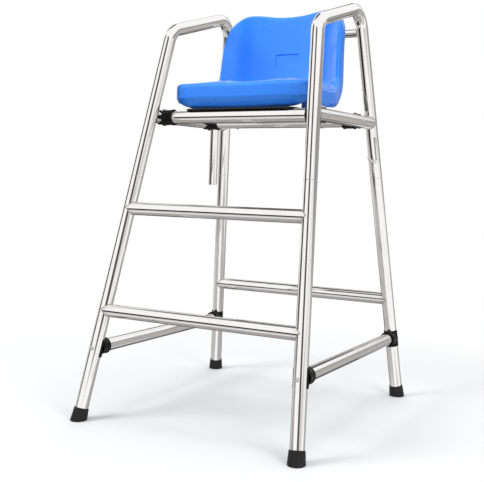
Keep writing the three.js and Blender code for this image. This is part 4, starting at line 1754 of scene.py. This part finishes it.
    def skin(self) -> Surface:
        """The outer skin.

        Returns:
            The dished grid, and the rows of its turned edge round the border.
        """
        shares, sides = self.row_shares(), self.side_shares()
        rows, columns = len(shares), len(sides)
        line = np.broadcast_to(shares[:, None], (rows, columns))
        points = self.surface(sides * self.outline(shares)[0][:, None], line)
        points = points - self.panel_depth * self.panel_mask(points, line)[..., None] * self.normals(points)
        index = np.arange(rows * columns).reshape(rows, columns)
        border = np.concatenate([index[0, :-1], index[:-1, -1], index[-1, :0:-1], index[:0:-1, 0]])
        edge = self.edge_rows(np.broadcast_to(sides, line.shape).ravel()[border], line.ravel()[border])
        rings = np.vstack([border, rows * columns + np.arange(len(edge) * len(border)).reshape(-1, len(border))])
        rings = np.hstack([rings, rings[:, :1]])
        flat = np.vstack([points.reshape(-1, 3), edge.reshape(-1, 3)])
        return Surface(flat, np.vstack([quads_between(index), quads_between(rings.T)]), flat, np.zeros(len(flat)))

    def normals(self, points: Array) -> Array:
        """Unit normals of a grid of points, up and forward, by differences between neighbours."""
        return unit(np.cross(np.gradient(points, axis=1), np.gradient(points, axis=0)))

    def panel_mask(self, points: Array, line: Array) -> Array:
        """The pressed panel, by the distance from a rounded rectangle.

        Args:
            points: the surface's grid.
            line: its points' shares of the way.

        Returns:
            1 inside the panel, 0 outside, and a smooth fall at its border.
        """
        up = (line - self.panel_share()) * self.line_length
        wide, high = self.panel_size
        over = np.stack([np.abs(points[..., 0]) - wide / 2, np.abs(up) - high / 2], axis=-1) + self.panel_corner
        outside = np.linalg.norm(np.maximum(over, 0), axis=-1) + np.minimum(np.max(over, axis=-1), 0)
        t = np.clip(0.5 - (outside - self.panel_corner) / self.panel_edge, 0, 1)
        return t * t * (3 - 2 * t)

    def boss(self, skin: Surface, across: float, inset: float) -> Surface:
        """A round boss from the underside's level up into the pan, above a screw.

        Args:
            skin: the outer skin.
            across: its place from side to side.
            inset: its distance from the front edge.

        Returns:
            The boss.
        """
        base = vec(across, self.front + inset, self.bottom)
        inner = skin.points[: self.grid_size]
        nearest = inner[np.argmin(np.linalg.norm(inner[:, :2] - base[:2], axis=1))]
        top = nearest[2] - self.bottom - self.wall / 2
        profile = [(0, 0), (self.boss_radius, 0), (self.boss_radius, top), (0, top)]
        return revolved(filleted(profile, [0, self.boss_round, 0, 0]), base, vec(0, 0, 1), 48)

    def build(self) -> None:
        """Makes and dresses the shell, which the tubes don't reflect, with the bosses for its screws."""
        skin = self.skin()
        spread = self.boss_spread / 2
        bosses = (self.boss(skin, side.value * spread, inset) for side in Side for inset in self.boss_insets.values())
        piece = add_piece("seat_shell", "moulding", joined([skin, *bosses]), Slot.SHELL)
        solid = piece.modifiers.new("wall", "SOLIDIFY")
        solid.thickness = self.wall
        solid.offset = -1.0
        piece.visible_glossy = False


@dataclass
class SeatSupport:
    """The black plate between the seat and its rails, and the screws that hold both.

    Args:
        joints: gives the seat rails' places.
        seat: gives its bosses' places.
        width: the plate's width.
        thickness: its thickness.
        ease, ease_share: how far its edges are broken, and the share of that where the middle row lies.
        front_margin, rear_margin: how far it reaches beyond the two rails' axes.
        corner: rounding of its corners.
        screw_spread: distance of the rail screws from side to side.
        screw_radius, head_radius: radii of a screw's shank and head.
        head_height, low_head: height of a seat screw's and of a rail screw's head.
        screw_bite: how far a seat screw reaches into its boss.
    """

    joints: BoltedJoints
    seat: BucketSeat
    width: float = 360 * MM
    thickness: float = 5 * MM
    ease: float = 0.8 * MM
    ease_share: float = 0.3
    front_margin: float = 15 * MM
    rear_margin: float = 20 * MM
    corner: float = 24 * MM
    screw_spread: float = 300 * MM
    screw_radius: float = 2.5 * MM
    head_radius: float = 5 * MM
    head_height: float = 3.5 * MM
    low_head: float = 2.2 * MM
    screw_bite: float = 16 * MM

    @property
    def bottom(self) -> float:
        """Height of the plate's underside."""
        stance = self.joints.stance
        return stance.rail_height + stance.tube_radius + CLEARANCE

    def plate(self) -> Surface:
        """The plate.

        Returns:
            A rounded rectangle whose rows are its underside, its eased edges and its upper side.
        """
        front = self.joints.rail_setbacks["front"] - self.front_margin
        rear = self.joints.rail_setbacks["rear"] + self.rear_margin
        middle = vec(0, (front + rear) / 2, self.bottom)
        little = self.ease_share * self.ease
        steps = [(self.ease, 0), (little, little), (0, self.ease)]
        steps += [(inset, self.thickness - height) for inset, height in reversed(steps)]
        rows = [self.ring(middle, rear - front, inset, height) for inset, height in steps]
        lower = np.broadcast_to(middle, rows[0].shape)
        return grid(np.stack([lower, *rows, lower + vec(0, 0, self.thickness)]))

    def ring(self, middle: Array, length: float, inset: float, height: float) -> Array:
        """The plate's outline, drawn in by an inset.

        Args:
            middle: the middle of the plate's underside.
            length: the plate's length from front to back.
            inset: how far the outline is drawn in.
            height: its height above the underside.

        Returns:
            Its points.
        """
        x, y = self.width / 2 - inset, length / 2 - inset
        corner = self.corner - inset
        flat = filleted([(-x, -y), (x, -y), (x, y), (-x, y)], [corner] * 4, 10, closed=True)
        return middle + np.column_stack([flat, np.full(len(flat), height)])

    def screw(self, node: str, base: Array, head: float, tip: float) -> None:
        """Makes and dresses a screw that points up.

        Args:
            node: the CAD node.
            base: the middle of its head's underside.
            head: height of its head.
            tip: height of its tip.
        """
        body = domed(base, vec(0, 0, 1), self.head_radius, head, self.screw_radius, tip - base[2])
        add_piece(node, "head", body, Slot.FASTENER)

    def build(self) -> None:
        """Makes and dresses the plate and the screws."""
        add_piece("seat_plate", "sheet", self.plate(), Slot.PAINT)
        seat, stance = self.seat, self.joints.stance
        low, top = stance.rail_height - stance.tube_radius - CLEARANCE, self.bottom + self.thickness
        for row, setback in self.joints.rail_setbacks.items():
            for side in Side:
                node = f"{side.label}_{row}_seat_rail_plate_screw"
                self.screw(node, vec(side.value * self.screw_spread / 2, setback, low), self.low_head, top)
        low, tip = self.bottom - CLEARANCE, top + CLEARANCE + self.screw_bite
        for row, inset in seat.boss_insets.items():
            for side in Side:
                base = vec(side.value * seat.boss_spread / 2, seat.front + inset, low)
                self.screw(f"{row}_{side.label}_seat_screw", base, self.head_height, tip)


# Small tube fittings


@dataclass
class Hook:
    """The bent rod hook beside the rear right leg: a shank along the leg and a tip that slants up in front of it.

    Args:
        stance: where the legs stand.
        rod: radius of the rod.
        top: height of the shank's upper end on the leg.
        shank: length of the straight shank.
        tip: length of the straight tip.
        bend: radius of the bend between them.
        turn: how far the bend turns, in degrees.
        aside: bearing of the shank round the leg, in degrees from +X.
        opened: bearing to which the hook opens, in degrees from +X.
        bend_steps, end_steps: pieces of the bend and of each rounded end.
        sides: lines round the rod.
    """

    stance: Stance
    rod: float = 4 * MM
    top: float = 843 * MM
    shank: float = 67 * MM
    tip: float = 22 * MM
    bend: float = 12.5 * MM
    turn: float = 138
    aside: float = -48.5
    opened: float = -120
    bend_steps: int = 39
    end_steps: int = 5
    sides: int = 24

    def rod_surface(self) -> Surface:
        """Sweeps a circle along the shank, an arc in the plane of the leg and the open side, and the tip.

        The rod's radius runs through a quarter of a sine at both ends, which rounds them.

        Returns:
            The closed rod.
        """
        up = self.stance.leg_way(End.REAR, Side.RIGHT)
        out, ahead = (square_to(vec(math.cos(a), math.sin(a), 0), up) for a in np.radians((self.aside, self.opened)))
        top = self.stance.leg(End.REAR, Side.RIGHT, self.top) + (self.stance.tube_radius + CLEARANCE + self.rod) * out
        angle = np.linspace(0, math.radians(self.turn), self.bend_steps + 1)[:, None]
        arc_ways = -np.cos(angle) * up + np.sin(angle) * ahead
        bent = top - self.shank * up - self.bend * np.sin(angle) * up + self.bend * (1 - np.cos(angle)) * ahead
        last = arc_ways[-1]
        rounded = quarter_turn(self.end_steps)
        inset = self.rod * (1 - np.cos(rounded))[:, None]
        places = np.vstack([top - inset * up, bent, bent[-1] + (self.tip - inset[::-1]) * last])
        ways = np.vstack([np.tile(-up, (len(rounded), 1)), arc_ways, np.tile(last, (len(rounded), 1))])
        sizes = np.concatenate([np.sin(rounded), np.ones(len(bent)), np.sin(rounded)[::-1]]) * self.rod
        points, run = Track(places, ways, unit(np.cross(up, ahead))).rings(sizes, self.sides)
        return grid(points, run)

    def build(self) -> None:
        """Makes and dresses the hook."""
        add_piece("hook", "rod", self.rod_surface(), Slot.STEEL)


@dataclass
class PoleSleeve:
    """The short tube below the left side rail, in line with the rear leg.

    Args:
        stance: where the legs stand.
        radius, wall: its outer radius and its wall.
        length: its length below the rail.
        setback: where its axis meets the rail's, from front to back.
        ease: how far the edges of its lower end are broken.
        line_shares: rows of its outside, as shares of the way down.
        sides: lines round it.
        weld: the bead at the rail.
    """

    stance: Stance
    radius: float = 15 * MM
    wall: float = 1.5 * MM
    length: float = 188 * MM
    setback: float = 213 * MM
    ease: float = 0.6 * MM
    line_shares: tuple = (0.0, 0.1, 0.5)
    sides: int = 224
    weld: Weld = field(default_factory=lambda: Weld(size=1.2 * MM, ripples=36))

    def build(self) -> None:
        """Makes and dresses the sleeve: its lines start on the rail and end square, with a bead at the rail."""
        s = self.stance
        way = -s.leg_way(End.REAR, Side.LEFT)
        top = vec(s.leg_x(Side.LEFT, s.rail_height), self.setback, s.rail_height)
        rail = Host(top, vec(0, 1, 0), s.tube_radius)
        end, bore = s.tube_radius + self.length, self.radius - self.wall
        spoke = spokes(way, self.sides)
        outer, inner = top + self.radius * spoke, top + bore * spoke
        start, inner_start = (rail.crossing(lines, way, True, CLEARANCE)[:, None] for lines in (outer, inner))
        points = np.stack([
            *(outer + (start + share * (end - start)) * way for share in self.line_shares),
            outer + (end - self.ease) * way,
            top + (self.radius - self.ease) * spoke + end * way,
            top + (bore + self.ease / 2) * spoke + end * way,
            inner + (end - self.ease / 2) * way,
            inner + inner_start * way,
        ])
        body = grid(points, bar_run(points, top, way), True)
        bead = self.weld.on_host(top, way, self.radius, rail, True, self.sides)
        add_piece("pole_sleeve", "tube", joined([body, bead]), Slot.STEEL)


# Studio


@dataclass(frozen=True)
class Card:
    """A dark card of the surround that only gloss sees.

    Args:
        bearings: its left and right edge, in degrees from the camera's side, positive to the right.
        heights: its lower and upper edge, as the upward part of a unit direction.
        depth: the share of the light that it takes away.
        soft: half the width of its edges, in degrees and in height.
        slant: by how many degrees its edges move for each unit of height.
        mirrored: whether it stands to the left and to the right alike.
    """

    bearings: tuple[float, float]
    heights: tuple[float, float]
    depth: float
    soft: tuple[float, float] = (2, 0.02)
    slant: float = 0.0
    mirrored: bool = False

    def factor(self, bearing: Signal, up: Signal) -> Signal:
        """The share of the light that is left in a direction.

        Args:
            bearing: the direction's bearing in degrees.
            up: its upward part.

        Returns:
            1 away from the card, and less on it.
        """
        place = bearing.bent("ABSOLUTE") if self.mirrored else bearing
        if self.slant:
            place = place - up * self.slant
        share = self.band(place, self.bearings, self.soft[0]) * self.band(up, self.heights, self.soft[1])
        return 1 - self.depth * share

    @staticmethod
    def band(value: Signal, edges: tuple[float, float], soft: float) -> Signal:
        """1 between two edges and 0 beyond them."""
        low, high = edges
        return value.above(low - soft, low + soft) * (1 - value.above(high - soft, high + soft))


# Each gives the tubes a dark line of the photograph. One that runs to 200 or -200 degrees has no edge behind the chair.
CARDS = (
    Card((-112, -82), (0.06, 0.66), 0.95, (2, 0.04)),
    Card((2, 30), (0.06, 0.7), 0.91, (2, 0.04), slant=-64),
    Card((10, 48), (0.05, 0.24), 0.3, (8, 0.03)),
    Card((102, 158), (0.02, 0.45), 0.62, (5, 0.02), slant=-115),
    Card((96, 150), (-0.56, 0.02), 0.54, (5, 0.02)),
    Card((-82, -40), (-0.24, 0.07), 0.98, (6, 0.02)),
    Card((-125, -80), (-0.2, 0.07), 0.6, (14, 0.03)),
    Card((-200, -28), (-0.46, -0.22), 0.48, (4, 0.03)),
    Card((24, 100), (-0.5, -0.27), 0.55, (12, 0.03)),
    Card((-200, -122), (0.7, 0.94), 0.93, (4, 0.015)),
    Card((150, 200), (0.33, 0.49), 0.95, (3, 0.02), mirrored=True),
    Card((142, 200), (-0.75, -0.06), 0.85, (4, 0.03), mirrored=True),
    Card((138, 200), (-0.08, 0.34), 0.5, (10, 0.03)),
    Card((-200, -158), (-0.08, 0.34), 0.25, (6, 0.03)),
    Card((30, 104), (0.0, 0.44), 0.13, (10, 0.05)),
)


@dataclass(frozen=True)
class Lamp:
    """A soft rectangular lamp: where it hangs, where it points, its width and height, and its power."""

    name: str
    place: tuple[float, float, float]
    target: tuple[float, float, float]
    size: tuple[float, float]
    watts: float


LAMPS = (
    Lamp("key", (-2.2, -2.4, 2.9), (0, 0, 0.8), (1.6, 1.6), 94),
    Lamp("fill", (2.8, -1.6, 1.8), (0, 0, 0.7), (1.6, 2.0), 54),
    Lamp("top", (0.2, 0.6, 3.4), (0, 0, 0.8), (2.4, 2.4), 54),
    Lamp("back", (-0.9, 2.4, 2.6), (0, -0.1, 1.0), (2.0, 0.3), 12),
)


@dataclass
class Studio:
    """A pale floor, soft lamps, a white surround with dark cards for the metal, and the camera.

    Args:
        camera_place: where the camera stands.
        yaw: how far it is turned to the left from +Y, in radians.
        pitch: how far it looks down, in radians.
        roll: how far it is turned about its own axis, in radians.
        focal_pixels: its focal length in pixels of an image of that width.
        image_width: the image's width in pixels.
        sensor: width of the sensor in millimetres.
        floor_size, floor_drop: width of the floor, and how far it lies below the feet, so that no planes are shared.
        floor_fade: distances from the middle between which it fades to white for the camera.
        floor_seen, floor_bounce: its colour for the camera, and a darker one for the light that it throws back.
        matt_level, gloss_level: strength of the even light, and of the surround that gloss sees.
        ground_dim, ground_edges: share of the latter that is missing straight below, and the upward parts of a
            direction between which it comes back.
        warm_shade, shade_edges: colour of the surround's dark parts, and the levels between which it turns white.
    """

    camera_place: tuple = (1.1946, -2.2129, 0.7216)
    yaw: float = 0.5066
    pitch: float = 0.0821
    roll: float = -0.0201
    focal_pixels: float = 828.34
    image_width: int = 484
    sensor: float = 36.0
    floor_size: float = 14.0
    floor_drop: float = 0.2 * MM
    floor_fade: tuple = (0.75, 1.5)
    floor_seen: tuple = (0.7, 0.71, 0.72, 1)
    floor_bounce: tuple = (0.25, 0.25, 0.26, 1)
    matt_level: float = 0.57
    gloss_level: float = 1.1
    ground_dim: float = 0.62
    ground_edges: tuple = (-0.85, -0.45)
    warm_shade: tuple = (1.0, 0.95, 0.915, 1)
    shade_edges: tuple = (0.2, 0.95)

    def camera_axes(self) -> tuple[Array, Array, Array]:
        """The camera's directions, worked out from its yaw, pitch and roll.

        Returns:
            Its right, up and back directions.
        """
        sin, cos = math.sin, math.cos
        ahead = vec(-sin(self.yaw) * cos(self.pitch), cos(self.yaw) * cos(self.pitch), -sin(self.pitch))
        right = vec(cos(self.yaw), sin(self.yaw), 0)
        down = np.cross(ahead, right)
        turned_right = cos(self.roll) * right + sin(self.roll) * down
        turned_down = -sin(self.roll) * right + cos(self.roll) * down
        return turned_right, -turned_down, -ahead

    def camera(self) -> None:
        """Makes the camera at the photograph's place."""
        data = bpy.data.cameras.new("photo_camera")
        data.sensor_width = self.sensor
        data.lens = self.focal_pixels / self.image_width * self.sensor
        camera = bpy.data.objects.new("photo_camera", data)
        bpy.context.scene.collection.objects.link(camera)
        matrix = np.eye(4)
        matrix[:3, :3] = np.stack(self.camera_axes(), axis=1)
        matrix[:3, 3] = self.camera_place
        camera.matrix_world = Matrix(matrix.tolist())
        bpy.context.scene.camera = camera

    def floor(self) -> None:
        """A wide plain floor that fades to white for the camera, and keeps the shadow."""
        half, height = self.floor_size / 2, -self.floor_drop
        corners = [(-half, -half, height), (half, -half, height), (half, half, height), (-half, half, height)]
        mesh = bpy.data.meshes.new("floor")
        mesh.from_pydata(corners, [], [(0, 1, 2, 3)])
        material = bpy.data.materials.new("floor")
        bench = Bench.cleared(material)
        away = bench.vector("LENGTH", bench.object_place())
        camera_ray = bench.ray("Is Camera Ray")
        colour = bench.mixed(camera_ray, self.floor_bounce, self.floor_seen)
        paint = bench.node("ShaderNodeBsdfDiffuse", {}, {"Color": colour})
        glow = bench.node("ShaderNodeEmission", {}, {"Color": WHITE, "Strength": 1.0})
        fade = away.above(*self.floor_fade) * camera_ray
        shader = bench.node("ShaderNodeMixShader", {}, {0: fade, 1: paint, 2: glow})
        bench.send(shader, "ShaderNodeOutputMaterial")
        mesh.materials.append(material)
        floor = bpy.data.objects.new("floor", mesh)
        floor.visible_glossy = False
        bpy.context.scene.collection.objects.link(floor)

    def hang(self, lamp: Lamp) -> None:
        """Makes a lamp, which gloss doesn't see.

        Args:
            lamp: the lamp.
        """
        data = bpy.data.lights.new(lamp.name, "AREA")
        data.shape = "RECTANGLE"
        data.size, data.size_y = lamp.size
        data.energy = lamp.watts
        hung = bpy.data.objects.new(lamp.name, data)
        hung.visible_glossy = False
        bpy.context.scene.collection.objects.link(hung)
        hung.location = lamp.place
        hung.rotation_euler = (Vector(lamp.target) - Vector(lamp.place)).to_track_quat("-Z", "Y").to_euler()

    def world(self) -> None:
        """A white surround for the camera, even light for matt surfaces, and for gloss a studio with dark cards.

        The studio is a function of direction alone: one level, dimmed straight below, times what each card leaves
        of it between two bearings from the camera's side and within some height.
        """
        world = bpy.data.worlds.new("studio")
        bpy.context.scene.world = world
        bench = Bench.cleared(world)
        way = bench.node("ShaderNodeTexCoord", {}, {}, out="Generated")
        sin, cos = math.sin(self.yaw), math.cos(self.yaw)
        axes = ((cos, sin, 0), (sin, -cos, 0), (0, 0, 1))
        right, near, up = (bench.vector("DOT_PRODUCT", way, axis) for axis in axes)
        bearing = bench.node("ShaderNodeMath", {"operation": "ARCTAN2"}, {0: right, 1: near}) * (180 / math.pi)
        level = self.gloss_level * (1 - self.ground_dim * (1 - up.above(*self.ground_edges)))
        for card in CARDS:
            level = level * card.factor(bearing, up)
        shade = bench.mixed(level.above(*self.shade_edges), self.warm_shade, WHITE)

        matt, gloss, white = (
            bench.node("ShaderNodeBackground", {}, {"Color": colour, "Strength": strength})
            for colour, strength in ((WHITE, self.matt_level), (shade, level), (WHITE, 1.0))
        )
        shader = bench.node("ShaderNodeMixShader", {}, {0: bench.ray("Is Glossy Ray"), 1: matt, 2: gloss})
        shader = bench.node("ShaderNodeMixShader", {}, {0: bench.ray("Is Camera Ray"), 1: shader, 2: white})
        bench.send(shader, "ShaderNodeOutputWorld")

    def build(self) -> None:
        """Makes the camera, the floor, the surround and the lamps."""
        bpy.context.scene.view_settings.view_transform = "Standard"
        self.camera()
        self.floor()
        self.world()
        for lamp in LAMPS:
            self.hang(lamp)


def dress_kept_nodes() -> None:
    """Gives every CAD node its slot's finish, those that stay inside the tubes included."""
    for row in frame["record"]["subparts"]:
        node = frame["nodes"][row["node"]]
        node.data.materials.clear()
        node.data.materials.append(FINISHES[Slot(row["material_slot"])].material())


def main() -> None:
    """Builds the chair piece by piece, then the studio."""
    logging.basicConfig(level=logging.INFO, format="%(name)s %(message)s")
    stance = Stance()
    joints = BoltedJoints(stance)
    seat = BucketSeat()
    dress_kept_nodes()
    TubeFrame(stance).build()
    joints.build()
    FootCaps(stance).build()
    SeatSupport(joints, seat).build()
    seat.build()
    Hook(stance).build()
    PoleSleeve(stance).build()
    Studio().build()


if __name__ == "__main__":
    main()
